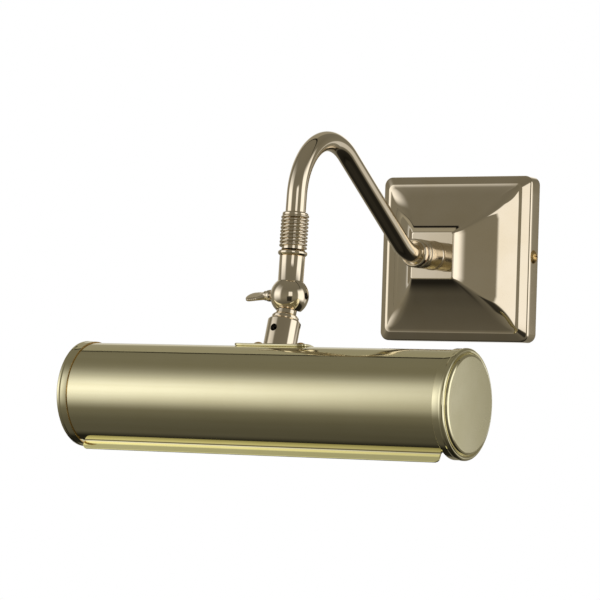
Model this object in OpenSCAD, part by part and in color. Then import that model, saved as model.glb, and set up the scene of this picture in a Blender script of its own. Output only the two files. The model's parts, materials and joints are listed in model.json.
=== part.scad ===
// Picture light: a square wall plate carries a swan-neck arm, and the arm carries a tubular shade on a
// slotted-ball knuckle. Millimetres. +X runs along the shade, +Y into the wall and +Z up.
// The origin is the centre of the wall plate's back face.

/* [Wall plate] */
// Side of the square wall cover
plate_w = 105; // [100:1:115]
// Radius of its four corners, seen from the front
plate_corner_r = 5.5; // [4:0.5:8]
// Depth of its straight rim
rim_h = 14; // [13:0.5:16]
// Radius that rolls the rim into the front
rim_roll_r = 3.5; // [2:0.5:4]
// Depth from the wall to the flat centre boss
boss_h = 43.8; // [42:0.2:46]
// Side of the flat centre boss
boss_w = 29.5; // [27:0.5:32]
// Radius of the four hollow faces between the rim and the boss
cove_r = 75; // [70:1:90]
// Thickness of the cover's sheet
cover_t = 1.2; // [1:0.1:1.4]
// Depth of the side screw, and of the locating pip opposite, from the wall
side_screw_depth = 6.3; // [6:0.1:7]
// Height of the side screw and the pip above the centre
side_screw_rise = 1.5; // [0:0.5:2]
// Distance between the two wall fixing slots
slot_spacing = 76; // [70:1:78]

/* [Arm] */
// Outside diameter of the arm tube
arm_d = 11.8; // [11:0.1:12]
// Wall thickness of the arm tube
arm_t = 1; // [0.8:0.1:1.2]
// Distance from the wall to the start of the first bend
wall_run = 69.7; // [69.5:0.1:71]
// Centreline radius of the bend at the wall
wall_bend_r = 30; // [26:1:34]
// Upward slope of the straight stretch, in degrees
slope_angle = 33.6; // [30:0.1:36]
// Length of the straight stretch
slope_len = 85.4; // [80:0.2:90]
// Centreline radius of the crook
crook_r = 38; // [36:0.5:40]
// Forward lean of the leg below the crook, in degrees
leg_tilt = 4.5; // [3:0.5:6]
// Length from the crook to the centre of the ball
leg_len = 58.4; // [56:0.2:60]

/* [Knuckle] */
// Diameter of the slotted ball
ball_d = 22.4; // [22:0.2:23]
// Depth of the flat below the ball's centre
ball_flat = 8.9; // [8.6:0.1:9.2]
// Diameter of the neck that comes out of the ball
neck_d = 11.7; // [11:0.1:12]
// Number of turns on the ribbed sleeve
rib_count = 10; // [8:1:10]
// Distance from one rib to the next
rib_pitch = 2.04; // [1.9:0.02:2.1]
// Backward tilt of the shade as it hangs, in degrees from upright
shade_lean = 17.4; // [15:0.2:19]
// Tilt that is left forwards from there, in degrees
tilt_front = 0; // [0:1:12]
// Tilt that is left towards the wall, in degrees
tilt_back = 60; // [40:1:65]

/* [Shade] */
// Overall length over the end caps
shade_len = 255; // [240:1:280]
// Outside diameter of the shade tube
shade_d = 60; // [58:1:62]
// Thickness of the shade's sheet
shade_t = 0.8; // [0.7:0.1:1]
// Distance from the ball's centre to the shade's axis
shade_drop = 62.5; // [62:0.5:65]
// Front lip, in degrees forward of the point opposite the arm
lip_front = 6.6; // [0:0.2:12]
// Rear lip, in degrees back from the point opposite the arm
lip_rear = 85; // [70:1:90]
// Height of the two turned-out lips
lip_h = 5.4; // [4:0.2:6]

/* [Lamp] */
// Diameter of the tubular lamp
lamp_d = 28; // [25:1:30]
// Length of the lamp's glass
lamp_glass_len = 98; // [90:1:110]

/* [Hidden] */
$fn = 96;
eps = 0.01;
fit = 0.02;
running = 0.05;
gap = 0.1;

nickel = "#d8cfa4";
brass = "#b8944a";
steel = "#a9abad";
plastic = "#ece9e0";

// Wall plate, worked out from the driving sizes
cove_start = plate_w / 2 - 6;
step_h = 0.8;
cove_depth = boss_h - rim_h - step_h;
ear_t = 2;
ear_out = plate_w / 2 - cover_t - gap;
strap_t = 1.6;
strap_h = 20;
m4_r = 2;
m4_clear_r = 2.25;
slot_len = 12;

// Wall swivel, along -Y from the boss
stem_r = 5;
stem_bore_r = 3.8;
collar_r = 9.3;
collar_len = 20.2;
washer_t = 0.6;
ring_r = 8.95;
ring_front = wall_run + gap;
washer_start = boss_h + collar_len + gap;
ring_back = washer_start + washer_t + gap;
ring_socket = 3;
boss_inside = boss_h - cover_t;
spring_t = 1;
nut_t = 3;
stem_back = 34;

// Arm path in the plane X = 0, each point as [y, z]
arm_r = arm_d / 2;
bend_centre = [-wall_run, wall_bend_r];
slope_dir = [-cos(slope_angle), sin(slope_angle)];
slope_start = bend_centre - wall_bend_r * [sin(slope_angle), cos(slope_angle)];
slope_end = slope_start + slope_len * slope_dir;
crook_centre = slope_end - crook_r * [sin(slope_angle), cos(slope_angle)];
leg_start = crook_centre + crook_r * [-cos(leg_tilt), sin(leg_tilt)];
ball = leg_start - leg_len * [sin(leg_tilt), cos(leg_tilt)];
crook_turn = 90 + slope_angle - leg_tilt;

// Knuckle, measured from the ball's centre
ball_r = ball_d / 2;
ball_wall = 2.2;
cavity_r = ball_r - ball_wall;
inner_ball_r = cavity_r - 0.3;
neck_r = neck_d / 2;
slot_r = neck_r + 0.3;
knuckle_top = 23.2;
knuckle_r = 7.4;
socket_floor = 13;
sleeve_r = arm_r + running;
sleeve_foot = knuckle_top + gap;
sleeve_top = 48.6;
first_rib = sleeve_foot + 4.6;
swing_mid = leg_tilt - shade_lean;
swing_min = swing_mid - tilt_front;
swing_max = swing_mid + tilt_back;
neck_end = 12;
ring_end = 14.8;
swivel_stem_end = 28;
pin_end = ball_r - 1.7;
paddle_start = ball_r + 5.4;
paddle_len = 11.5;

// Shade, measured from its own axis
shade_r = shade_d / 2;
shade_in = shade_r - shade_t;
cap_skirt = 8.4;
cap_edge = shade_len / 2 - cap_skirt;
tube_half = shade_len / 2 - 4;
lip_half = cap_edge - 2.5;
saddle_t = 1.6;
saddle_r = shade_r + fit + saddle_t;
saddle_half = 23.4;
saddle_half_angle = 25;
coupler_r = 9.65;
coupler_bore_r = 5.1;
saddle_screw_x = 14;
strip_t = 1.5;
strip_top = 28.4;
strip_w = 12;
strip_right = 19;
tab_x = -96;
tab_drop = 9;
strip_bottom = strip_top - strip_t;

// Lamp and lampholder, along the shade's axis
glass_start = -lamp_glass_len / 2;
holder_mouth = glass_start;
holder_back = tab_x + strip_t;
holder_r = 13.6;
lamp_cap_len = 17;
lead_r = 1.7;
lead_z = 20.6;

// ---------- places ----------

module at_leg() {
    translate([0, ball[0], ball[1]]) rotate([-leg_tilt, 0, 0]) children();
}

module at_drop() {
    translate([0, ball[0], ball[1]]) rotate([-shade_lean, 0, 0]) children();
}

module at_shade() {
    at_drop() translate([0, 0, -shade_drop]) children();
}

// turns a shape drawn along +Z so that it runs along +X
module along_x() {
    rotate([0, 90, 0]) children();
}

// turns a shape drawn along +Z so that it runs away from the wall
module away_from_wall() {
    rotate([90, 0, 0]) children();
}

// ---------- shapes that repeat ----------

module tube(outer, inner, length) {
    difference() {
        cylinder(r = outer, h = length);
        translate([0, 0, -1]) cylinder(r = inner, h = length + 2);
    }
}

// a turned ring whose two outer edges are chamfered
module turned_ring(outer, inner, length, chamfer) {
    rotate_extrude()
        polygon([
            [inner, 0], [outer - chamfer, 0], [outer, chamfer],
            [outer, length - chamfer], [outer - chamfer, length], [inner, length]
        ]);
}

// a domed, slotted head on a shank that points down
module dome_screw(head_r, head_h, shank_r, shank_len) {
    dome_r = (head_r * head_r + head_h * head_h) / (2 * head_h);
    difference() {
        union() {
            intersection() {
                translate([0, 0, head_h - dome_r]) sphere(r = dome_r);
                cylinder(r = head_r, h = head_h);
            }
            translate([0, 0, -shank_len]) cylinder(r = shank_r, h = shank_len + eps);
        }
        translate([-head_r, -0.45, head_h - 0.9]) cube([2 * head_r, 0.9, 2]);
    }
}

module hex_nut(across_flats, hole_r, length) {
    difference() {
        cylinder(r = across_flats / 2 / cos(30), h = length, $fn = 6);
        translate([0, 0, -1]) cylinder(r = hole_r, h = length + 2);
    }
}

// part of a round bar bent about an axis along X; angles run from -Z towards +Y
module bent_bar(centre, bend_r, bar_r, from, turn) {
    translate([0, centre[0], centre[1]]) along_x() rotate([0, 0, from])
        rotate_extrude(angle = turn) translate([bend_r, 0]) circle(r = bar_r);
}

// the arm's whole route as a solid round bar, from a given run at the wall to a given height over the
// ball; the straight stretches run a little into the bends and are a hair thicker, so that they join
module arm_bar(bar_r, run, foot) {
    lap = 0.6;
    straight_r = bar_r + 0.03;
    translate([0, -wall_run - lap, 0]) rotate([-90, 0, 0]) cylinder(r = straight_r, h = run + lap);
    bent_bar(bend_centre, wall_bend_r, bar_r, -slope_angle, slope_angle);
    translate([0, slope_start[0], slope_start[1]]) rotate([90 - slope_angle, 0, 0])
        translate([0, 0, -lap]) cylinder(r = straight_r, h = slope_len + 2 * lap);
    bent_bar(crook_centre, crook_r, bar_r, 180 - slope_angle, crook_turn);
    at_leg() translate([0, 0, foot]) cylinder(r = straight_r, h = leg_len - foot + lap);
}

// ---------- wall plate ----------

// half outline of the cover from the side, drawn as width against depth, brought in by inset
module cover_outline(inset) {
    half = plate_w / 2 - inset;
    top = rim_h - inset;
    roll = rim_roll_r - inset / 2;
    foot = inset > 0 ? -2 : 0;
    chord = [cove_start - boss_w / 2, cove_depth];
    mid = [(cove_start + boss_w / 2) / 2, rim_h + step_h + cove_depth / 2];
    away = sqrt(cove_r * cove_r - (chord * chord) / 4) / norm(chord);
    centre = mid + away * [chord[1], chord[0]];
    difference() {
        union() {
            polygon([
                [0, foot], [half, foot], [half, top - roll], [half - roll, top],
                [cove_start - inset, top], [cove_start - inset, top + step_h],
                [boss_w / 2 - inset, boss_h - inset], [0, boss_h - inset]
            ]);
            translate([half - roll, top - roll]) circle(r = roll);
        }
        intersection() {
            translate(centre) circle(r = cove_r + inset, $fn = 360);
            translate([boss_w / 2 - inset, top + step_h])
                square([cove_start - boss_w / 2, boss_h]);
        }
    }
}

module cover_ridge(inset) {
    rotate([180, 0, 0]) linear_extrude(height = plate_w + 4, center = true) {
        cover_outline(inset);
        mirror([1, 0]) cover_outline(inset);
    }
}

module cover_block(inset) {
    corner = plate_corner_r - inset;
    reach = plate_w / 2 - plate_corner_r;
    intersection() {
        cover_ridge(inset);
        rotate([0, 90, 0]) cover_ridge(inset);
        away_from_wall() translate([0, 0, -3]) linear_extrude(height = boss_h + 6) {
            square([2 * reach, 2 * (reach + corner)], center = true);
            square([2 * (reach + corner), 2 * reach], center = true);
            for (x = [-reach, reach], y = [-reach, reach]) translate([x, y]) circle(r = corner);
        }
    }
}

module side_place(side) {
    translate([side * plate_w / 2, -side_screw_depth, side_screw_rise])
        rotate([0, side * 90, 0]) children();
}

module wall_cover() {
    color(nickel) difference() {
        cover_block(0);
        cover_block(cover_t);
        away_from_wall() cylinder(r = stem_r + 0.3, h = boss_h + 5);
        for (side = [-1, 1]) side_place(side) translate([0, 0, -4]) cylinder(r = m4_clear_r, h = 8);
    }
}

module wall_bracket() {
    half = ear_out;
    ear_h = 11;
    pip_root = cover_t + gap + ear_t / 2;
    color(steel) difference() {
        union() {
            translate([-half, -strap_t, -strap_h / 2]) cube([2 * half, strap_t, strap_h]);
            for (side = [0, 1]) mirror([side, 0, 0])
                translate([half - ear_t, -ear_h, -strap_h / 2 + 1]) cube([ear_t, ear_h, strap_h - 2]);
            side_place(-1) translate([0, 0, -pip_root]) cylinder(r = m4_r, h = pip_root - 0.3);
        }
        side_place(1) translate([0, 0, -6]) cylinder(r = m4_r + fit, h = 8);
        for (side = [-1, 1], end = [-1, 1])
            translate([side * slot_spacing / 2 + end * (slot_len / 2 - m4_clear_r), 1, 0])
                away_from_wall() cylinder(r = m4_clear_r, h = strap_t + 2);
        for (side = [-1, 1])
            translate([side * slot_spacing / 2 - slot_len / 2 + m4_clear_r, -strap_t - 1, -m4_clear_r])
                cube([slot_len - 2 * m4_clear_r, strap_t + 2, 2 * m4_clear_r]);
        translate([-16, 1, 0]) away_from_wall() cylinder(r = 5, h = strap_t + 2);
        translate([-4, 1, 0]) away_from_wall() cylinder(r = m4_r + fit, h = strap_t + 2);
    }
}

module cover_screw() {
    color(brass) side_place(1) translate([0, 0, fit]) dome_screw(4, 2.4, m4_r - fit, 6.5);
}

block_x = 8;
block_size = [18, 13, 17];
way_pitch = 5.5;

module terminal_block() {
    color(plastic) difference() {
        translate([block_x, -strap_t - fit - block_size[1], -block_size[2] / 2]) cube(block_size);
        for (way = [-1:1]) translate([block_x - 1, -strap_t - 4.5, way * way_pitch])
            along_x() cylinder(r = 1.6, h = block_size[0] + 2);
        for (way = [-1:1], end = [0.25, 0.75])
            translate([block_x + end * block_size[0], -strap_t - 6.5, way * way_pitch])
                away_from_wall() cylinder(r = 1.7, h = 12);
    }
}

module terminal_screws() {
    color(brass) for (way = [-1:1], end = [0.25, 0.75])
        translate([block_x + end * block_size[0], -strap_t - 7, way * way_pitch])
            away_from_wall() difference() {
                cylinder(r = 1.6, h = 4);
                translate([-2, -0.3, 3.2]) cube([4, 0.6, 1]);
            }
}

module earth_screw() {
    color(brass) translate([-4, -strap_t - fit, 0]) away_from_wall()
        dome_screw(3.8, 2.4, m4_r - fit, strap_t);
}

// ---------- wall swivel ----------

module swivel_collar() {
    color(nickel) translate([0, -boss_h - fit, 0]) away_from_wall() difference() {
        union() {
            turned_ring(collar_r, 3, 2, 0.8);
            cylinder(r = collar_r - 0.3, h = collar_len - 3);
            cylinder(r = collar_r - 1, h = collar_len - fit);
            translate([0, 0, collar_len - 2.4]) turned_ring(collar_r - 0.3, 3, 2.4 - fit, 0.6);
        }
        translate([0, 0, -1]) cylinder(r = stem_r + running, h = collar_len + 2);
    }
}

module spring_washer() {
    color(steel) translate([0, -boss_inside + fit + spring_t, 0]) away_from_wall()
        tube(9, stem_r + 0.3, spring_t);
}

module fibre_washer() {
    color("#7d3b2a") translate([0, -washer_start, 0]) away_from_wall()
        tube(ring_r - 1, stem_r + running, washer_t);
}

module swivel_stem() {
    color(brass) translate([0, -stem_back, 0]) away_from_wall()
        tube(stem_r, stem_bore_r, ring_front - ring_socket - fit - stem_back);
}

module lock_nut() {
    color(brass) translate([0, -boss_inside + spring_t + gap + nut_t, 0]) away_from_wall()
        hex_nut(14, stem_r + fit, nut_t);
}

module arm_end_ring() {
    length = ring_front - ring_back;
    color(nickel) translate([0, -ring_back, 0]) away_from_wall() difference() {
        turned_ring(ring_r, 2, length, 0.9);
        translate([0, 0, -1]) cylinder(r = stem_r + fit, h = length);
        translate([0, 0, length - ring_socket]) cylinder(r = arm_r + running, h = ring_socket + 1);
    }
}

// ---------- arm ----------

module arm_tube() {
    color(nickel) difference() {
        arm_bar(arm_r, ring_socket - gap, socket_floor + gap);
        arm_bar(arm_r - arm_t, ring_socket + 1, socket_floor - 1);
    }
}

module arm_lead() {
    color("#e8e2cf") arm_bar(lead_r, wall_run - 26, 11);
}

module ribbed_sleeve() {
    rib_r = 0.72;
    crest_r = 8.15;
    core_r = crest_r - 1.1;
    last_rib = first_rib + (rib_count - 1) * rib_pitch;
    color(nickel) at_leg() difference() {
        union() {
            translate([0, 0, sleeve_foot]) turned_ring(8.5, 3, 3, 1.2);
            translate([0, 0, sleeve_foot]) cylinder(r = core_r, h = last_rib - sleeve_foot + 1);
            for (i = [0:rib_count - 1]) translate([0, 0, first_rib + i * rib_pitch])
                rotate_extrude() translate([crest_r - rib_r, 0]) circle(r = rib_r, $fn = 24);
            translate([0, 0, last_rib]) cylinder(r = 6.5, h = sleeve_top - last_rib);
            translate([0, 0, sleeve_top - 2.4]) turned_ring(7.5, 3, 2.4, 1);
        }
        translate([0, 0, sleeve_foot - 1]) cylinder(r = sleeve_r, h = 40);
    }
}

// ---------- knuckle ----------

// the sector between the two end holes is a hair smaller than they are, so that the cuts stay separate
module knuckle_ball() {
    hair = 0.005;
    pin_r = m4_r + running;
    color(nickel) at_leg() difference() {
        union() {
            difference() {
                sphere(r = ball_r);
                translate([-20, -20, -ball_flat - 20]) cube([40, 40, 20]);
            }
            translate([0, 0, 6]) cylinder(r = knuckle_r, h = knuckle_top - 6);
        }
        sphere(r = cavity_r);
        translate([0, 0, 6]) cylinder(r = 4, h = 10);
        translate([0, 0, socket_floor]) cylinder(r = arm_r + running, h = 20);
        translate([-ball_r - 1, 0, 0]) along_x() cylinder(r = pin_r, h = ball_d + 2);
        for (a = [swing_min, swing_max]) rotate([a, 0, 0])
            translate([0, 0, -ball_d]) cylinder(r = slot_r, h = ball_d);
        along_x() rotate([0, 0, swing_min + 0.5])
            rotate_extrude(angle = swing_max - swing_min - 1)
                translate([1, hair - slot_r]) square([ball_d, 2 * (slot_r - hair)]);
    }
}

module knuckle_swivel() {
    color(nickel) at_drop() difference() {
        union() {
            sphere(r = inner_ball_r);
            translate([0, 0, -neck_end - 1]) cylinder(r = neck_r, h = neck_end + 1);
            translate([0, 0, -ring_end]) turned_ring(7.85, 1, ring_end - neck_end, 0.9);
            translate([0, 0, -swivel_stem_end]) cylinder(r = stem_r, h = swivel_stem_end - neck_end);
        }
        translate([0, 0, -swivel_stem_end - 1]) cylinder(r = 2.6, h = swivel_stem_end + 12);
        translate([-ball_r, 0, 0]) along_x() cylinder(r = m4_r + running, h = 2 * ball_r);
    }
}

// half of a round disc, for the paddle's rounded end
module paddle_tip() {
    intersection() {
        circle(r = 4.6);
        translate([-10, -4.6]) square([10 + eps, 9.2]);
    }
}

// a flat thumb paddle, widest near its tip, on a plain pivot screw
module wing_screw() {
    collar_x = -ball_r - 0.4;
    color(nickel) at_leg() {
        translate([-paddle_start, 0, 0]) along_x() cylinder(r = m4_r, h = paddle_start + pin_end);
        translate([-paddle_start + 0.6, 0, 0]) along_x()
            turned_ring(3.4, 1, paddle_start + collar_x - 0.6, 0.7);
        translate([-paddle_start + 1, 0, 0]) rotate([6, 0, 0]) rotate([0, -8, 0])
            translate([0, 0, -1.3]) linear_extrude(height = 2.6) {
                translate([-paddle_len + 3, 0]) paddle_tip();
                polygon([[0.6, -2.8], [0.6, 2.8], [-paddle_len + 3, 4.6], [-paddle_len + 3, -4.6]]);
            }
    }
}

// ---------- shade fixing ----------

module grub_direction() {
    rotate([0, 0, -4.5]) rotate([90, 0, 0]) children();
}

grub_z = -22.5;

module shade_coupler() {
    color(nickel) at_drop() difference() {
        translate([0, 0, -shade_drop + saddle_r - 2])
            turned_ring(coupler_r, 1, shade_drop - saddle_r + 2 - ring_end - fit, 1.1);
        translate([-20, 0, -shade_drop]) along_x() cylinder(r = saddle_r + fit, h = 40);
        translate([0, 0, -shade_drop]) cylinder(r = coupler_bore_r, h = shade_drop);
        translate([0, 0, grub_z]) grub_direction() cylinder(r = m4_r + fit, h = coupler_r + 1);
    }
}

module grub_screw() {
    color("#2b2a27") at_drop() translate([0, 0, grub_z]) grub_direction() difference() {
        translate([0, 0, stem_r + 0.2]) cylinder(r = m4_r, h = 2.6);
        translate([0, 0, stem_r + 1.6]) cylinder(r = 1.1, h = 3, $fn = 6);
    }
}

module saddle_plate() {
    inner = saddle_r - saddle_t;
    color(nickel) at_shade() difference() {
        translate([-saddle_half, 0, 0]) along_x() rotate([0, 0, 180 - saddle_half_angle])
            rotate_extrude(angle = 2 * saddle_half_angle)
                translate([inner, 0]) square([saddle_t, 2 * saddle_half]);
        cylinder(r = 4, h = 40);
        for (x = [-saddle_screw_x, saddle_screw_x]) translate([x, 0, 20]) cylinder(r = 2.1, h = 20);
    }
}

module saddle_screws() {
    color(brass) at_shade() for (x = [-saddle_screw_x, saddle_screw_x])
        translate([x, 0, saddle_r + fit]) rotate([0, 0, 35]) dome_screw(3.75, 2.5, m4_r - 0.05, 8.4);
}

module saddle_nuts() {
    color(brass) at_shade() for (x = [-saddle_screw_x, saddle_screw_x])
        translate([x, 0, strip_bottom - fit - 3.2]) hex_nut(7, m4_r - fit, 3.2);
}

// ---------- shade ----------

// one turned-out lip: a radial strip at the given angle, on the given side of it
module shade_lip(angle, side) {
    corner = 2.5;
    reach = shade_r + lip_h;
    rotate([angle, 0, 0]) translate([0, 0, side < 0 ? -shade_t : 0]) linear_extrude(height = shade_t) {
        translate([-lip_half, shade_in + 0.2])
            square([2 * lip_half, reach - corner - shade_in - 0.2]);
        translate([-lip_half + corner, reach - corner - eps])
            square([2 * (lip_half - corner), corner + eps]);
        for (end = [-1, 1]) translate([end * (lip_half - corner), reach - corner]) circle(r = corner);
    }
}

module shade_tube() {
    front = -90 - lip_front;
    rear = -90 + lip_rear;
    color(nickel) at_shade() {
        difference() {
            translate([-tube_half, 0, 0]) along_x() rotate([0, 0, rear + 90])
                rotate_extrude(angle = 360 - lip_front - lip_rear)
                    translate([shade_in, 0]) square([shade_t, 2 * tube_half]);
            cylinder(r = 4, h = 40);
            for (x = [-saddle_screw_x, saddle_screw_x]) translate([x, 0, 20]) cylinder(r = 2.1, h = 20);
        }
        shade_lip(front, -1);
        shade_lip(rear, 1);
    }
}

// spun cap: a thin skirt over the tube, a rolled bead, a groove and a slightly raised flat disc
module end_cap() {
    half = shade_len / 2;
    skirt_r = shade_r + 0.55;
    disc_r = shade_r - 2.4;
    along_x() rotate_extrude() {
        translate([shade_r + fit, cap_edge]) square([skirt_r - shade_r - fit, cap_skirt - 3]);
        translate([shade_r - 0.2, half - 2.6]) circle(r = 1.2, $fn = 32);
        translate([disc_r - 0.5, half - 2.3]) square([shade_r - disc_r + 0.3, 0.8]);
        translate([disc_r - 0.8, half - 2.3]) square([0.8, 2.2]);
        translate([0, half - 0.9]) square([disc_r - 0.4, 0.9]);
    }
}

module end_cap_right() {
    color(nickel) at_shade() end_cap();
}

module end_cap_left() {
    color(nickel) at_shade() mirror([1, 0, 0]) end_cap();
}

// ---------- lamp ----------

module lampholder_bracket() {
    color(steel) at_shade() difference() {
        union() {
            translate([tab_x, -strip_w / 2, strip_bottom]) cube([strip_right - tab_x, strip_w, strip_t]);
            translate([tab_x, -strip_w / 2, -tab_drop]) cube([strip_t, strip_w, strip_top + tab_drop]);
            translate([tab_x, 0, 0]) along_x() cylinder(r = 9, h = strip_t);
        }
        cylinder(r = 3.2, h = 40);
        for (x = [-saddle_screw_x, saddle_screw_x]) translate([x, 0, 20]) cylinder(r = 2.1, h = 20);
        translate([tab_x - 1, 0, 0]) along_x() cylinder(r = stem_r + 0.2, h = strip_t + 2);
    }
}

module lampholder_stem() {
    color(brass) at_shade() translate([tab_x - 5, 0, 0]) along_x() tube(stem_r, stem_bore_r, 12);
}

module lampholder_nuts() {
    color(brass) at_shade() translate([tab_x - fit - nut_t, 0, 0]) along_x()
        hex_nut(14, stem_r + fit, nut_t);
}

module lampholder_body() {
    back = holder_back + fit;
    color(plastic) at_shade() translate([back, 0, 0]) along_x() difference() {
        union() {
            turned_ring(holder_r - 2.2, 1, 16, 2);
            translate([0, 0, 14]) turned_ring(holder_r, 1, holder_mouth - back - 14 - gap, 1.2);
        }
        translate([0, 0, -1]) cylinder(r = stem_r + fit, h = 8);
        translate([0, 0, 6]) cylinder(r = 4, h = 12);
        translate([0, 0, 16]) cylinder(r = 9.4, h = 40);
        translate([-30, 0, 11]) rotate([0, 90, 0]) cylinder(r = lead_r + 0.2, h = 29);
    }
}

module lampholder_shell() {
    color(brass) at_shade() translate([holder_back + 19, 0, 0]) along_x() tube(9.3, 8.7, 22);
}

module lampholder_contact() {
    color(brass) at_shade() translate([holder_back + 16.1, 0, 0]) along_x() union() {
        cylinder(r = 7, h = 1);
        cylinder(r = 2, h = glass_start - lamp_cap_len - 1.1 - holder_back - 16.1 - gap);
    }
}

// down the coupler, along under the bracket, and down into the lampholder
module lamp_lead() {
    turn_r = 5;
    entry_x = holder_back + 11;
    start_z = 36;
    color("#e8e2cf") at_shade() {
        translate([0, 0, lead_z + turn_r]) cylinder(r = lead_r, h = start_z - lead_z - turn_r);
        translate([-turn_r, 0, lead_z + turn_r]) rotate([90, 90, 0]) rotate_extrude(angle = 90)
            translate([turn_r, 0]) circle(r = lead_r);
        translate([entry_x + turn_r, 0, lead_z]) along_x()
            cylinder(r = lead_r, h = -entry_x - 2 * turn_r);
        translate([entry_x + turn_r, 0, lead_z - turn_r]) rotate([90, -90, 0])
            rotate_extrude(angle = 90) translate([turn_r, 0]) circle(r = lead_r);
        translate([entry_x, 0, 9]) cylinder(r = lead_r, h = lead_z - turn_r - 9);
    }
}

module lamp_cap() {
    color(brass) at_shade() translate([glass_start - lamp_cap_len, 0, 0]) along_x() {
        difference() {
            cylinder(r = 8, h = lamp_cap_len);
            translate([0, 0, 1]) cylinder(r = 7.5, h = lamp_cap_len);
        }
        translate([0, 0, -1]) cylinder(r = 2.4, h = 1 + eps);
    }
}

// the glass is a thin shell whose neck goes down into the cap
module lamp_glass() {
    glass_r = lamp_d / 2;
    wall = 0.9;
    shoulder = 8;
    color([0.95, 0.95, 0.92, 0.4]) at_shade() translate([glass_start, 0, 0]) along_x()
        rotate_extrude() difference() {
            lamp_outline(glass_r, 0, shoulder);
            lamp_outline(glass_r, wall, shoulder);
        }
}

module lamp_outline(glass_r, wall, shoulder) {
    neck = 7.4 - wall;
    tip = lamp_glass_len - glass_r;
    translate([0, -6 - wall]) square([neck, 8 + wall]);
    polygon([[0, 1], [neck, 1], [glass_r - wall, shoulder], [glass_r - wall, tip], [0, tip]]);
    intersection() {
        translate([0, tip]) circle(r = glass_r - wall);
        translate([0, tip - eps]) square([glass_r, glass_r + 1]);
    }
}

wall_bracket();
wall_cover();
cover_screw();
terminal_block();
terminal_screws();
earth_screw();
swivel_collar();
spring_washer();
fibre_washer();
swivel_stem();
lock_nut();
arm_end_ring();
arm_tube();
arm_lead();
ribbed_sleeve();
knuckle_ball();
knuckle_swivel();
wing_screw();
shade_coupler();
grub_screw();
saddle_plate();
saddle_screws();
saddle_nuts();
shade_tube();
end_cap_left();
end_cap_right();
lampholder_bracket();
lampholder_stem();
lampholder_nuts();
lampholder_body();
lampholder_shell();
lampholder_contact();
lamp_lead();
lamp_cap();
lamp_glass();
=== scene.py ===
# %% [markdown]
# # A picture light in polished nickel
#
# A picture light hangs on the wall over a painting: a square stamped plate, a bent brass tube, a ball
# knuckle with a thumb screw, and a round shade whose mouth looks down and back at the picture. The CAD
# frame already says where every piece sits and how it moves. This script gives the pieces their finish,
# and remakes the polished ones with finer curves, because a mirror finish shows every flat facet.

# %% Load the frame
import json
import math

import bmesh
import bpy
from mathutils import Matrix, Vector


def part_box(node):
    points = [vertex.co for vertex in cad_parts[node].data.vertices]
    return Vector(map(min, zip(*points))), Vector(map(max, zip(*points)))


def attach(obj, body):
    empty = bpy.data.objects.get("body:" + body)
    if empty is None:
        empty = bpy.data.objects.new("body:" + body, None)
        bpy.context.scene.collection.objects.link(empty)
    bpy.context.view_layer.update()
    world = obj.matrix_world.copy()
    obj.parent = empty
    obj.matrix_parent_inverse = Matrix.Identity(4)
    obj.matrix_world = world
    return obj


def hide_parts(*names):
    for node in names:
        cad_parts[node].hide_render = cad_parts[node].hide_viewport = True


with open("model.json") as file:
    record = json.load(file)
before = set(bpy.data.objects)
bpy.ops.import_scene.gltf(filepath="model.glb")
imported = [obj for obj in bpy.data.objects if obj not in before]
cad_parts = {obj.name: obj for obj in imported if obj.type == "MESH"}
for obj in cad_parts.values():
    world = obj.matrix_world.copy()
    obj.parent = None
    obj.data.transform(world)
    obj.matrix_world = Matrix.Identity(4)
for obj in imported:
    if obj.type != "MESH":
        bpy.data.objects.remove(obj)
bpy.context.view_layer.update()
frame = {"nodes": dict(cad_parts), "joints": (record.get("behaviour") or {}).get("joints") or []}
scene = bpy.context.scene
MM = 0.001

# %% [markdown]
# ## Where things are
#
# Four small coordinate systems make the rest easy to read. Each is a matrix that carries a shape, drawn
# upright in millimetres at the origin, to its place: on the wall swivel, on the leg of the arm, hanging
# from the ball, or on the shade's own axis. The places are read from the frame: the ball is the tilt
# joint's pivot, and the middle of a round end cap's box is on the shade's axis. Pieces that rest on each
# other are kept a fiftieth of a millimetre apart, so that no two faces lie in one plane.

# %% Places from the frame
joints = {joint["name"]: joint for joint in frame["joints"]}
ball = Vector(joints["shade_tilt"]["pos_m"])
cap_low, cap_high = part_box("end_cap_right")
shade_axis = Vector((0.0, (cap_low.y + cap_high.y) / 2, (cap_low.z + cap_high.z) / 2))
shade_drop = (ball - shade_axis).length / MM
lean = math.atan2(ball.y - shade_axis.y, ball.z - shade_axis.z)
leg_tilt = math.radians(4.5)
shade_half = cap_high.x / MM

to_metres = Matrix.Scale(MM, 4)
ON_WALL = to_metres @ Matrix.Rotation(math.radians(90), 4, "X")
ON_LEG = Matrix.Translation(ball) @ Matrix.Rotation(-leg_tilt, 4, "X") @ to_metres
FROM_BALL = Matrix.Translation(ball) @ Matrix.Rotation(-lean, 4, "X") @ to_metres
ON_SHADE = FROM_BALL @ Matrix.Translation((0, 0, -shade_drop))
TURN_TO_X = Matrix.Rotation(math.radians(90), 4, "Y")
SEAT_GAP = 0.02
print("ball at", [round(v / MM, 1) for v in ball], "drop %.1f mm" % shade_drop)
print("lean %.1f degrees, shade half length %.1f mm" % (math.degrees(lean), shade_half))

# %% [markdown]
# ## Shader sums written as sums
#
# A procedural finish is mostly arithmetic on masks. Wrapping a socket in a small class lets Python's own
# operators add the Math nodes, so `1 - scratches * 0.3` reads like what it does. Every node, here and in
# the geometry trees further down, comes from one function that is told its settings first, and then the
# values or links of its sockets.

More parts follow.
